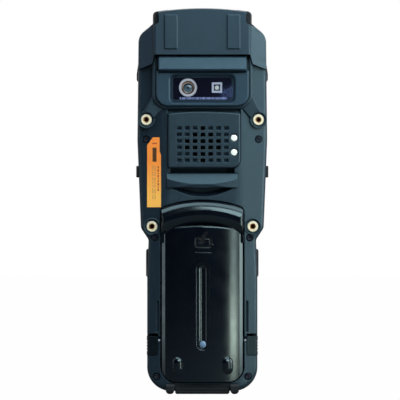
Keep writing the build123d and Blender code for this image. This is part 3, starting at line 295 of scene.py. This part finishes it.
def glass_finishes():
    """Windows, lenses and what shows behind them."""
    return {
        "window": (Finish("window_glass", (3, 4, 20), 0.03, Alpha=0.18, Specular_IOR_Level=0.7)
                   .mottle(6.0)),
        "window_mask": (Finish("window_mask_ink", (2, 3, 24), 0.6, Specular_IOR_Level=0.12)
                        .mottle(4.0).uneven(5.0, 0.03)),
        "print": Finish("window_print", (150, 160, 214), 0.5).mottle(1.1, 0.45, 1.3),
        "touch_glass": (Finish("touch_glass", (4, 5, 8), 0.06, Alpha=0.55, Specular_IOR_Level=0.8)
                        .mottle(18.0).uneven(14.0, 0.02)),
        "display_mask": Finish("display_border_ink", (5, 6, 8), 0.4).mottle(8.0).uneven(6.0, 0.04),
        "display": Finish("display_off", (38, 44, 52), 0.25).mottle(20.0, 0.85, 1.15).uneven(12.0, 0.03),
        "scan_glass": (Finish("scan_glass", (34, 4, 8), 0.05, Coat_Weight=0.7, Coat_Roughness=0.02)
                       .mottle(8.0).uneven(6.0, 0.02)),
        "lens": (Finish("lens_glass", (98, 122, 136), 0.12, Coat_Weight=0.8, Coat_Roughness=0.03)
                 .mottle(2.0, 0.8, 1.2)),
        "lens_dark": Finish("lens_barrel", (10, 11, 16), 0.4).mottle(1.2).uneven(0.6, 0.06),
        "lens_cream": Finish("lens_seat", (206, 186, 164), 0.4).mottle(1.2, 0.85, 1.1).uneven(0.6, 0.06),
        "bronze": (Finish("bronze_ring", (128, 84, 62), 0.4, Metallic=0.3).mottle(1.5, 0.8, 1.15)
                   .uneven(0.6, 0.06)),
        "lamp": Finish("lamp_white", (252, 252, 250), 0.3).mottle(1.0, 0.97, 1.02).soften(0.15),
        "lamp_frame": (Finish("lamp_reflector", (222, 226, 246), 0.35).mottle(1.0, 0.92, 1.06)
                       .uneven(0.8, 0.05).soften(0.1)),
        "light_pipe": (Finish("light_pipe", (120, 190, 130), 0.2, Coat_Weight=0.5)
                       .mottle(1.5, 0.9, 1.1).uneven(1.0, 0.03)),
    }


def metal_finishes():
    """Metals, the board and the cells."""
    return {
        "trim": (Finish("bright_trim", (240, 236, 244), 0.3, Metallic=0.15)
                 .mottle(1.5, 0.8, 1.1).uneven(0.6, 0.06).soften(0.15).grain(0.12, 0.004, 0.4)),
        "brass": (Finish("pale_brass", (248, 230, 196), 0.34, Metallic=0.35)
                  .mottle(1.6, 0.85, 1.08).uneven(0.8, 0.06).soften(0.15).grain(0.12, 0.01)),
        # darker brass of the insert throats: painted shade inside the holes
        "brass_painted_shade": (Finish("brass_thread_painted_shade", (148, 96, 48), 0.4, Metallic=0.5)
                       .mottle(1.0, 0.8, 1.15).uneven(0.5, 0.05)
                       .grain(0.3, 0.03, 0.6, 2.0, (0.1, 3.0, 0.1))),
        "steel": (Finish("blackened_steel", (62, 66, 76), 0.3, Metallic=1.0)
                  .mottle(1.0).uneven(0.5, 0.08).soften(0.15).grain(0.1, 0.008)),
        "bright_steel": (Finish("catch_steel", (190, 194, 206), 0.3, Metallic=0.5)
                         .mottle(0.8, 0.85, 1.1).uneven(0.4, 0.05).soften(0.1)),
        "contacts": (Finish("contact_pins", (248, 244, 232), 0.34, Metallic=0.3)
                     .mottle(1.2, 0.93, 1.03).uneven(0.5, 0.05).soften(0.3).grain(0.1, 0.003, 0.3)),
        "gold": (Finish("gold_contacts", (222, 176, 96), 0.3, Metallic=0.9)
                 .mottle(1.0, 0.9, 1.06).uneven(0.5, 0.05).soften(0.1)),
        "board": (Finish("circuit_board", (16, 62, 38), 0.4).mottle(2.0, 0.7, 1.3).uneven(1.0, 0.06)
                  .grain(0.8, 0.03, 0.5, 4.0)),
        "cells": Finish("cell_foil", (110, 128, 150), 0.3, Metallic=0.8).mottle(4.0).uneven(2.0, 0.06),
        "dark_metal": Finish("dark_metal", (60, 64, 72), 0.3, Metallic=0.9).mottle(1.2).uneven(0.6, 0.06),
    }


def printed_finishes():
    """Label film and inks."""
    label_span = [value * mm for value in (132, 112)]
    return {
        "label": (Finish("label_film", label_colour, 0.5, Specular_IOR_Level=0.3).mottle(5.0, 0.93, 1.06)
                  .fade(label_low_colour, *label_span).uneven(4.0, 0.04).grain(0.4, 0.01, 0.3)),
        "label_ink": Finish("label_ink", label_ink, 0.45).mottle(0.6, 0.6, 1.5),
        "label_red": Finish("label_red_ink", label_red, 0.45).mottle(0.6, 0.85, 1.15),
        "label_grey": Finish("label_grey_ink", label_grey, 0.45).mottle(0.6, 0.85, 1.1),
        "legend": Finish("key_legend_ink", legend_white, 0.5).mottle(0.5, 0.9, 1.05),
        "legend_dark": Finish("key_legend_dark", legend_dark, 0.5).mottle(0.5, 0.8, 1.2),
        "legend_amber": Finish("key_legend_amber", legend_amber, 0.5).mottle(0.5, 0.9, 1.05),
    }


finishes = {**moulded_finishes(), **glass_finishes(), **metal_finishes(), **printed_finishes()}
materials = {name: finish.material for name, finish in finishes.items()}

node_finish = {
    "rear_housing": "housing", "front_housing": "housing", "top_cap": "cap",
    "camera_frame": "camera_frame", "speaker_cover": "housing", "strap_bar": "housing",
    "strap_lugs": "dark_plastic", "dock_connector": "dark_plastic", "cap_corner_pads": "rubber",
    "housing_seal": "rubber", "side_bumpers": "rubber", "display_gasket": "rubber",
    "keypad_mat": "rubber", "battery_shell": "battery", "battery_base": "battery",
    "battery_connector": "rubber", "battery_cells": "cells", "battery_terminals": "gold",
    "scan_window": "scan_glass", "scan_engine": "dark_metal", "camera_window": "window",
    "camera_module": "dark_metal", "camera_trim_ring": "trim", "flash_led": "lamp",
    "speaker_driver": "rubber", "grip_contact_pins": "contacts", "grip_inserts": "brass",
    "housing_screws": "steel", "rating_label": "label", "touch_glass": "touch_glass",
    "display_panel": "display", "main_board": "board", "status_lights": "light_pipe",
    "key_scan": "scan_key",
}


def finish_of(node):
    """Finish of a node from the table; the others are keys, latches and rubber buttons."""
    if node in node_finish:
        return node_finish[node]
    if node.startswith("key_"):
        return "key"
    return "latch" if node.startswith("latch") else "rubber"


for node, thing in nodes.items():
    thing.data.materials.clear()
    thing.data.materials.append(materials[finish_of(node)])


# ---------------------------------------------------------------- shape helpers
def keep(thing, finish, body):
    """Gives a new piece its material and body."""
    thing.data.materials.clear()
    thing.data.materials.append(materials[finish])
    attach(thing, body)
    return thing


def mesh_of(name, thing):
    """Replaces a curve or text object by its mesh, with its place in the vertices."""
    bpy.context.view_layer.update()
    graph = bpy.context.evaluated_depsgraph_get()
    mesh = bpy.data.meshes.new_from_object(thing.evaluated_get(graph))
    mesh.transform(thing.matrix_world)
    source = thing.data
    bpy.data.objects.remove(thing)
    bpy.data.curves.remove(source)
    made = bpy.data.objects.new(name, mesh)
    mesh.name = name
    bpy.context.scene.collection.objects.link(made)
    return made


def slab(name, loops, thick, place):
    """Flat piece from closed loops, where inner ones are holes."""
    curve = bpy.data.curves.new(name, "CURVE")
    curve.dimensions = "2D"
    curve.fill_mode = "BOTH"
    curve.extrude = thick / 2
    for loop in loops:
        spline = curve.splines.new("POLY")
        spline.points.add(len(loop) - 1)
        for point, (x, z) in zip(spline.points, loop):
            point.co = (x, z, 0.0, 1.0)
        spline.use_cyclic_u = True
    thing = bpy.data.objects.new(name, curve)
    bpy.context.scene.collection.objects.link(thing)
    thing.matrix_world = place
    return mesh_of(name, thing)


def plate(name, loops, face, thick):
    """Slab of X,Z loops, from a face towards +Y."""
    place = Matrix.Translation((0, face + thick / 2, 0)) @ Matrix.Rotation(math.pi / 2, 4, "X")
    return slab(name, loops, thick, place)


def circle(x, z, radius, count=48):
    """Loop round a centre."""
    turns = [2 * math.pi * i / count for i in range(count)]
    return [(x + radius * math.cos(t), z + radius * math.sin(t)) for t in turns]


def rounded(x0, x1, z0, z1, radius, steps=6):
    """Loop of a rounded rectangle."""
    loop = []
    corners = ((x1 - radius, z1 - radius, 0), (x0 + radius, z1 - radius, 90),
               (x0 + radius, z0 + radius, 180), (x1 - radius, z0 + radius, 270))
    for x, z, start in corners:
        for i in range(steps + 1):
            turn = math.radians(start + 90 * i / steps)
            loop.append((x + radius * math.cos(turn), z + radius * math.sin(turn)))
    return loop


def bar(x0, x1, z0, z1):
    """Loop of a plain rectangle."""
    return [(x0, z0), (x1, z0), (x1, z1), (x0, z1)]


def square(x, z, half):
    """Loop of a square round a centre."""
    return bar(x - half, x + half, z - half, z + half)


def lathe(name, x, z, profile, count=64):
    """Closed piece turned about an axis along Y, from a loop of (radius, y) points."""
    verts, faces = [], []
    rows = len(profile)
    merge = 1e-8
    for i in range(count):
        turn = 2 * math.pi * i / count
        verts += [(x + r * math.cos(turn), y, z + r * math.sin(turn)) for r, y in profile]
        j = (i + 1) % count
        for k in range(rows):
            following = (k + 1) % rows
            faces.append((i * rows + k, i * rows + following, j * rows + following, j * rows + k))
    mesh = bpy.data.meshes.new(name)
    mesh.from_pydata(verts, [], faces)
    form = bmesh.new()
    form.from_mesh(mesh)
    bmesh.ops.remove_doubles(form, verts=form.verts, dist=merge)
    bmesh.ops.dissolve_degenerate(form, edges=form.edges, dist=merge)
    bmesh.ops.recalc_face_normals(form, faces=form.faces)
    form.to_mesh(mesh)
    form.free()
    made = bpy.data.objects.new(name, mesh)
    bpy.context.scene.collection.objects.link(made)
    return made


def dome(radius, rise, back):
    """Profile of a dome that stands out from back towards -Y, for lathe."""
    turns = [math.radians(t) for t in range(0, 91, 9)]
    return [(radius * math.sin(t), back - rise * math.cos(t)) for t in turns] + [(0.0, back)]


def middle(node):
    """Centre of a node's box."""
    low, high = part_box(node)
    return (low + high) / 2


# ---------------------------------------------------------------- camera window
def window_mask():
    """Dark ink behind the window glass, with a row of print along its lower edge."""
    low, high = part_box("camera_window")
    ring_low, ring_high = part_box("camera_trim_ring")
    ring = middle("camera_trim_ring")
    flash = middle("flash_led")
    inset = 0.05 * mm
    mask_gap, mask_thick = 0.03 * mm, 0.04 * mm
    ring_r = (ring_high.x - ring_low.x) / 2
    flash_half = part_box("flash_led")[1].x - flash.x
    glass_corner = 3.0 * mm
    outer = rounded(low.x + inset, high.x - inset, low.z + inset, high.z - inset, glass_corner)
    holes = [circle(ring.x, ring.z, ring_r + inset), square(flash.x, flash.z, flash_half + inset)]
    mask = plate("window_mask", [outer] + holes, high.y + mask_gap, mask_thick)
    keep(mask, "window_mask", ROOT)

    print_low = low.z + 1.75 * mm
    print_high = low.z + 3.0 * mm
    print_end = high.x - 4.2 * mm
    print_thick = 0.01 * mm
    dash_gap = 0.32 * mm
    dashes = []
    x = low.x + 5.4 * mm
    lengths = (0.8, 1.9, 0.6, 2.4, 1.2, 0.5, 1.6)
    while x < print_end:
        long = lengths[len(dashes) % len(lengths)] * mm
        dashes.append(bar(x, x + long, print_low, print_high))
        x += long + dash_gap
    keep(plate("window_print", dashes, high.y + print_thick, print_thick), "print", ROOT)


def lens_pieces():
    """Stepped seat, barrel and domed lens inside the trim ring."""
    low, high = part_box("camera_trim_ring")
    ring = middle("camera_trim_ring")
    face = low.y
    ring_wall = 1.3 * mm
    lead_in = 0.35 * mm
    opening = (high.x - low.x) / 2 - ring_wall
    steps = (                # name, drop, outer and inner radius, front, back, finish
        ("lens_bezel", 0.0, opening, 3.15 * mm, 0.05 * mm, 0.7 * mm, "bronze"),
        ("lens_seat", 0.20 * mm, 3.30 * mm, 2.50 * mm, 0.35 * mm, 0.8 * mm, "lens_cream"),
        ("lens_barrel", 0.55 * mm, 2.95 * mm, 2.55 * mm, 0.03 * mm, 5.6 * mm, "lens_dark"))
    for name, drop, outer, inner, front, back, finish in steps:
        y0, y1 = face + front, face + back
        profile = [(outer, y0), (inner, y0 + lead_in), (inner, y1), (outer, y1)]
        keep(lathe(name, ring.x, ring.z - drop, profile), finish, ROOT)
    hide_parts("camera_module")

    lens_r, lens_rise, lens_back = 2.58 * mm, 0.8 * mm, face + 1.2 * mm
    lens_z = ring.z - 0.62 * mm
    lens = lathe("camera_lens", ring.x, lens_z, dome(lens_r, lens_rise, lens_back))
    keep(lens, "lens", ROOT)
    iris_r, iris_raise = 0.7 * mm, 0.5 * mm
    tip, rim, base = face + 0.37 * mm, face + 0.40 * mm, face + 0.7 * mm
    iris = [(0.0, tip), (iris_r, rim), (iris_r, base), (0.0, base)]
    keep(lathe("lens_iris", ring.x, lens_z + iris_raise, iris), "lens_dark", ROOT)


def flash_pieces():
    """Pale frame and dark well round the flash lamp."""
    place = middle("flash_led")
    low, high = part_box("flash_led")
    face = low.y
    half = high.x - place.x
    frame_wide, frame_thick = 1.1 * mm, 0.03 * mm
    well = half - 0.82 * mm
    liner_wall, liner_front, liner_deep = 0.12 * mm, 0.02 * mm, 1.4 * mm
    lamp_r = 1.22 * mm
    floor_front, floor_thick = 1.43 * mm, 0.04 * mm
    rim = [square(place.x, place.z, half), square(place.x, place.z, half - frame_wide)]
    keep(plate("flash_frame", rim, face - frame_thick, frame_thick), "lamp_frame", ROOT)
    liner = [square(place.x, place.z, well), square(place.x, place.z, well - liner_wall)]
    keep(plate("flash_liner", liner, face + liner_front, liner_deep), "lens_dark", ROOT)
    floor = [square(place.x, place.z, well), circle(place.x, place.z, lamp_r)]
    keep(plate("flash_well", floor, face + floor_front, floor_thick), "lens_dark", ROOT)


# ---------------------------------------------------------------- back details
def insert_threads():
    """Threaded throats of the four grip inserts, in darker brass that paints the shade inside the holes."""
    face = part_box("grip_inserts")[0].y
    hole = 1.24 * mm
    lead = 0.5 * mm
    wall = 0.09 * mm
    start, end = face + 0.02 * mm, face + 4.0 * mm
    outer_trim, inner_trim = 0.01 * mm, 0.03 * mm
    throat_facets = 40
    profile = [(hole + lead - outer_trim, start), (hole, start + lead), (hole, end),
               (hole - wall, end), (hole - wall, face + lead), (hole + lead - wall - inner_trim, start)]
    for row in ("upper", "lower"):
        mount = mounts["grip_inserts_" + row]
        half = mount["dims"]["spacing_x_mm"] * mm / 2
        for side, x in (("left", -half), ("right", half)):
            piece = lathe("insert_throat_%s_%s" % (row, side), x, mount["pos_m"][2], profile, throat_facets)
            keep(piece, "brass_painted_shade", ROOT)


def flank_plate(name, loops, finish):
    """Print on the label's face, which follows the slope of the left flank."""
    back, bend, slope = -13.0 * mm, 21.0 * mm, 0.30
    label_thick = 0.15 * mm
    lift = 0.015 * mm
    piece = plate(name, loops, back - label_thick - lift, lift)
    for vertex in piece.data.vertices:
        vertex.co.y += (abs(vertex.co.x) - bend) * slope
    keep(piece, finish, ROOT)


def label_print():
    """Plain blocks and dashes in place of the label's text."""
    block = bar(-28.2 * mm, -25.9 * mm, 131.6 * mm, 139.6 * mm)
    flank_plate("label_block", [block], "label_ink")
    rule = bar(-28.4 * mm, -25.7 * mm, 141.6 * mm, 142.4 * mm)
    flank_plate("label_rule", [rule], "label_red")
    lengths = (1.3, 0.7, 1.7, 1.0, 0.6)
    dash_left, dash_right = -25.4, -24.5
    dash_low, dash_high, dash_gap = 115.0, 128.6, 0.5
    dashes = []
    z = dash_low
    while z < dash_high:
        long = lengths[len(dashes) % len(lengths)]
        dashes.append(bar(dash_left * mm, dash_right * mm, z * mm, (z + long) * mm))
        z += long + dash_gap
    flank_plate("label_dashes", dashes, "label_red")
    line_lefts, line_wide = (-28.3, -27.5, -26.8), 0.32
    line_low, line_high, line_gap, line_stretch = 110.4, 128.0, 0.7, 1.8
    lines = []
    for x in line_lefts:
        z = line_low
        while z < line_high:
            long = lengths[(len(lines) * 2) % len(lengths)] * line_stretch
            lines.append(bar(x * mm, (x + line_wide) * mm, z * mm, (z + long) * mm))
            z += long + line_gap
    flank_plate("label_lines", lines, "label_grey")


def icon_inlay():
    """Near-black sheet on the floor of the engraved battery symbol: painted shade in the engraving."""
    engraving_depth, painted_shade_thick = 0.69 * mm, 0.05 * mm
    left, right, bottom, top = -4.0 * mm, 6.0 * mm, 79.5 * mm, 93.0 * mm
    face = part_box("battery_shell")[0].y + engraving_depth
    # the sheet's near-black paints the shade at the engraving's floor
    keep(plate("icon_inlay", [bar(left, right, bottom, top)], face, painted_shade_thick), "engraving_shade", BATTERY)


def channel_bead():
    """Pale blue-grey dome at the lower end of the battery's channel: a painted highlight of the channel's
    end.
    """
    bead_x, bead_z = 0.3 * mm, 28.2 * mm
    bead_r, bead_rise = 1.95 * mm, 0.7 * mm
    channel_depth = 1.0 * mm
    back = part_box("battery_shell")[0].y + channel_depth
    bead = lathe("channel_bead", bead_x, bead_z, dome(bead_r, bead_rise, back))
    keep(bead, "bead", BATTERY)


def tube(name, points, radius):
    """Round bead along a line of points."""
    curve = bpy.data.curves.new(name, "CURVE")
    curve.dimensions = "3D"
    curve.bevel_depth = radius
    curve.use_fill_caps = True
    spline = curve.splines.new("POLY")
    spline.points.add(len(points) - 1)
    for point, place in zip(spline.points, points):
        point.co = (*place, 1.0)
    thing = bpy.data.objects.new(name, curve)
    bpy.context.scene.collection.objects.link(thing)
    return mesh_of(name, thing)


def bar_lip():
    """Thin lip along the lower edge of the strap bar."""
    low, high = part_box("strap_bar")
    centre = (low.x + high.x) / 2
    half = (high.x - low.x) / 2
    lip_r, lip_sink, lip_rise = 0.3 * mm, 0.75 * mm, 0.35 * mm
    bow, reach, steps = 1.5 * mm, 0.9, 24
    points = []
    for i in range(steps + 1):
        share = reach * (2 * i / steps - 1)
        points.append((centre + share * half, low.y + lip_sink + bow * share ** 2, low.z + lip_rise))
    keep(tube("strap_bar_lip", points, lip_r), "camera_frame", ROOT)


def catch_tips():
    """Bright steel tips on the latches' noses."""
    nose_face = -10.9 * mm
    tip_thick, tip_corner = 0.15 * mm, 0.4 * mm
    tip_in, tip_out, tip_low, tip_high = 23.9 * mm, 25.0 * mm, 29.85 * mm, 31.0 * mm
    for side, sign in (("left", -1), ("right", 1)):
        x0, x1 = sorted((sign * tip_in, sign * tip_out))
        tip = rounded(x0, x1, tip_low, tip_high, tip_corner)
        piece = plate("catch_tip_" + side, [tip], nose_face - tip_thick, tip_thick)
        keep(piece, "bright_steel", "latch_" + side)


# ---------------------------------------------------------------- display side
stroke = 0.25 * mm           # half the width of a line in the keys' symbols


def text_mark(name, body, text, x, z, face, size, finish):
    """Raised character that faces +Y."""
    half_thick = 0.01 * mm
    curve = bpy.data.curves.new(name, "FONT")
    curve.body = text
    curve.size = size
    curve.align_x = "CENTER"
    curve.align_y = "CENTER"
    curve.extrude = half_thick
    thing = bpy.data.objects.new(name, curve)
    bpy.context.scene.collection.objects.link(thing)
    thing.matrix_world = (Matrix.Translation((x, face + half_thick, z)) @ Matrix.Rotation(math.pi, 4, "Z")
                          @ Matrix.Rotation(math.pi / 2, 4, "X"))
    keep(mesh_of(name, thing), finish, body)


def arrow(x, z, turn, reach):
    """Triangle that points along a turn in degrees, anticlockwise from +X."""
    corners = (0, 130, 230)      # degrees from the tip
    turns = [math.radians(turn + corner) for corner in corners]
    return [(x + reach * math.cos(t), z + reach * math.sin(t)) for t in turns]


def return_sign(x, z, hooked):
    """Arrow with a tail, which turns up at its end where it is hooked."""
    head, neck, tail = x + 1.0 * mm, x + 0.2 * mm, x - 1.9 * mm
    head_reach, hook_top, hook_gap = 1.2 * mm, z + 1.3 * mm, 0.01 * mm
    line = z - 0.6 * mm if hooked else z
    loops = [arrow(head, line, 0, head_reach), bar(tail, neck, line - stroke, line + stroke)]
    if hooked:
        loops.append(bar(tail, tail + 2 * stroke, line + stroke + hook_gap, hook_top))
    return loops


def scan_sign(x, z):
    """Row of upright bars."""
    widths = (0.5, 0.9, 0.4, 0.4, 0.9, 0.5, 0.9)
    half_wide, half_tall, gap = 3.3 * mm, 2.4 * mm, 0.35 * mm
    loops = []
    at = x - half_wide
    for wide in widths:
        loops.append(bar(at, at + wide * mm, z - half_tall, z + half_tall))
        at += wide * mm + gap
    return loops


def symbol(kind, x, z):
    """Loops of a key's symbol; +X is on the left as the keys are seen."""
    turns = {"up": 90, "down": 270, "left": 0, "right": 180}
    if kind in turns:
        reach = 1.7 * mm
        return [arrow(x, z, turns[kind], reach)]
    if kind == "menu":
        half_long, pitch = 1.6 * mm, 1.2 * mm
        return [bar(x - half_long, x + half_long, z + rise - stroke, z + rise + stroke)
                for rise in (-pitch, 0.0, pitch)]
    if kind == "power":
        ring_out, ring_in, ring_facets = 1.9 * mm, 1.45 * mm, 32
        bar_down, bar_up = 0.1 * mm, 1.2 * mm
        return [circle(x, z, ring_out, ring_facets), circle(x, z, ring_in, ring_facets),
                bar(x - stroke, x + stroke, z - bar_down, z + bar_up)]
    if kind in ("back", "enter"):
        return return_sign(x, z, kind == "enter")
    return scan_sign(x, z)


def key_legends():
    """Numbers and plain symbols on the keys."""
    text_size, ink_thick = 5.6 * mm, 0.02 * mm
    marks = {"star": "*", "hash": "#"}
    marks.update({str(i): str(i) for i in range(10)})
    for node in sorted(nodes):
        if not node.startswith("key_"):
            continue
        kind = node[4:]
        place = middle(node)
        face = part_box(node)[1].y
        if kind in marks:
            text_mark("legend_" + kind, node, marks[kind], place.x, place.z, face, text_size, "legend")
        else:
            finish = {"scan": "legend_dark", "power": "legend_amber"}.get(kind, "legend")
            piece = plate("legend_" + kind, symbol(kind, place.x, place.z), face, ink_thick)
            keep(piece, finish, node)


def display_border():
    """Black ink border behind the touch glass."""
    low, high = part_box("touch_glass")
    margin, overlap = 0.2 * mm, 1.0 * mm
    corner = 3.0 * mm
    ink_thick = 0.03 * mm
    outer = rounded(low.x + margin, high.x - margin, low.z + margin, high.z - margin, corner)
    panel_low, panel_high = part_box("display_panel")
    inner = bar(panel_low.x + overlap, panel_high.x - overlap, panel_low.z + overlap, panel_high.z - overlap)
    border = plate("display_border", [outer, inner], low.y - ink_thick, ink_thick)
    keep(border, "display_mask", ROOT)


def dock_pads():
    """Gold pads in the wells of the dock connector."""
    count, pitch = 10, 2.4 * mm
    half_wide, half_long, corner = 0.62 * mm, 1.9 * mm, 0.3 * mm
    pad_thick, pad_rise = 0.25 * mm, 0.26 * mm
    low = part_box("dock_connector")[0].z
    for i in range(count):
        x = (i - (count - 1) / 2) * pitch
        loop = rounded(x - half_wide, x + half_wide, -half_long, half_long, corner)
        piece = slab("dock_pad_%d" % i, [loop], pad_thick, Matrix.Translation((0, 0, low + pad_rise)))
        keep(piece, "gold", ROOT)


window_mask()
lens_pieces()
flash_pieces()
insert_threads()
label_print()
icon_inlay()
channel_bead()
bar_lip()
catch_tips()
key_legends()
display_border()
dock_pads()


# ---------------------------------------------------------------- surroundings
def make_floor():
    """Pale floor that keeps the object's shadow."""
    half = floor_size
    corners = [(-half, -half, 0), (half, -half, 0), (half, half, 0), (-half, half, 0)]
    mesh = bpy.data.meshes.new("floor")
    mesh.from_pydata(corners, [], [(0, 1, 2, 3)])
    thing = bpy.data.objects.new("floor", mesh)
    bpy.context.scene.collection.objects.link(thing)
    thing.location.z = cad_box[0].z
    material = bpy.data.materials.new("floor_paint")
    material.use_nodes = True
    tree = material.node_tree
    shader = tree.nodes["Principled BSDF"]
    shader.inputs["Base Color"].default_value = (floor_shade, floor_shade, floor_shade, 1)
    shader.inputs["Roughness"].default_value = floor_rough
    glow = tree.nodes.new("ShaderNodeEmission")
    glow.inputs["Strength"].default_value = 1.0
    mixer = tree.nodes.new("ShaderNodeMixShader")
    path = tree.nodes.new("ShaderNodeLightPath")
    share = tree.nodes.new("ShaderNodeMath")
    share.operation = "MULTIPLY"
    share.inputs[1].default_value = floor_white
    tree.links.new(path.outputs["Is Camera Ray"], share.inputs[0])
    tree.links.new(share.outputs[0], mixer.inputs[0])
    tree.links.new(shader.outputs[0], mixer.inputs[1])
    tree.links.new(glow.outputs[0], mixer.inputs[2])
    tree.links.new(mixer.outputs[0], tree.nodes["Material Output"].inputs["Surface"])
    mesh.materials.append(material)


def make_world():
    """White behind the object for the camera and its reflections, dim in front of it."""
    world = bpy.data.worlds.new("surroundings")
    bpy.context.scene.world = world
    world.use_nodes = True
    tree = world.node_tree
    background = tree.nodes["Background"]
    background.inputs["Color"].default_value = (1, 1, 1, 1)
    coords = tree.nodes.new("ShaderNodeTexCoord")
    split = tree.nodes.new("ShaderNodeSeparateXYZ")
    tree.links.new(coords.outputs["Generated"], split.inputs[0])
    ramp = tree.nodes.new("ShaderNodeMapRange")
    ramp.inputs["From Min"].default_value = sky_front
    ramp.inputs["From Max"].default_value = sky_back
    ramp.inputs["To Min"].default_value = front_dim
    tree.links.new(split.outputs["Y"], ramp.inputs["Value"])
    path = tree.nodes.new("ShaderNodeLightPath")
    seen = tree.nodes.new("ShaderNodeMath")
    seen.operation = "MAXIMUM"
    tree.links.new(path.outputs["Is Glossy Ray"], seen.inputs[0])
    tree.links.new(path.outputs["Is Transmission Ray"], seen.inputs[1])
    behind = tree.nodes.new("ShaderNodeMapRange")
    behind.inputs["To Min"].default_value = back_bright
    behind.inputs["To Max"].default_value = 1.0
    tree.links.new(seen.outputs[0], behind.inputs["Value"])
    tree.links.new(behind.outputs["Result"], ramp.inputs["To Max"])
    strength = tree.nodes.new("ShaderNodeMix")
    factor, lighting, shown = (strength.inputs[i] for i in (0, 2, 3))
    tree.links.new(path.outputs["Is Camera Ray"], factor)
    tree.links.new(ramp.outputs["Result"], lighting)
    shown.default_value = 1.0
    tree.links.new(strength.outputs[0], background.inputs["Strength"])


def area_lamp(name, place, away, roll, wide, tall, radiance, colour):
    """Rectangular lamp that shines against the direction away, unseen by the camera."""
    data = bpy.data.lights.new(name, "AREA")
    data.shape = "RECTANGLE"
    data.size = wide
    data.size_y = tall
    data.color = colour
    data.energy = radiance * math.pi * wide * tall
    lamp = bpy.data.objects.new(name, data)
    bpy.context.scene.collection.objects.link(lamp)
    turn = (-away).to_track_quat("-Z", "Y").to_matrix().to_4x4()
    lamp.matrix_world = Matrix.Translation(place) @ turn @ Matrix.Rotation(math.radians(roll), 4, "Z")
    lamp.visible_camera = False


def softbox(name, azimuth, elevation, distance, wide, tall, radiance, colour):
    """Lamp aimed at the object; azimuth 0 is the camera's side and 90 the right."""
    a, e = math.radians(azimuth), math.radians(elevation)
    away = Vector((math.sin(a) * math.cos(e), -math.cos(a) * math.cos(e), math.sin(e)))
    area_lamp(name, aim + away * distance, away, 0.0, wide, tall, radiance, colour)


def window_glint():
    """Small blue lamp whose image lies across the window's lower right corner."""
    spread = 1 + glint_distance / view_distance
    place = Vector((glint_x * spread - picture_x * (spread - 1), -glint_distance,
                    glint_z * spread - picture_z * (spread - 1)))
    area_lamp("window_glint", place, Vector((0, -1, 0)), glint_roll, glint_width, glint_height,
              glint_radiance, glint_colour)


def make_camera():
    """Long lens on the picture's middle, at the height of the object's middle."""
    data = bpy.data.cameras.new("camera")
    data.sensor_width = sensor
    data.lens = sensor * view_distance / view_height
    data.clip_end = view_end
    camera = bpy.data.objects.new("camera", data)
    bpy.context.scene.collection.objects.link(camera)
    camera.location = aim + Vector((0, -view_distance, 0))
    camera.rotation_euler = (math.pi / 2, 0, 0)
    bpy.context.scene.camera = camera


make_floor()
make_world()
make_camera()
for lamp in lamps:
    softbox(*lamp)
window_glint()
bpy.context.scene.view_settings.view_transform = "Standard"
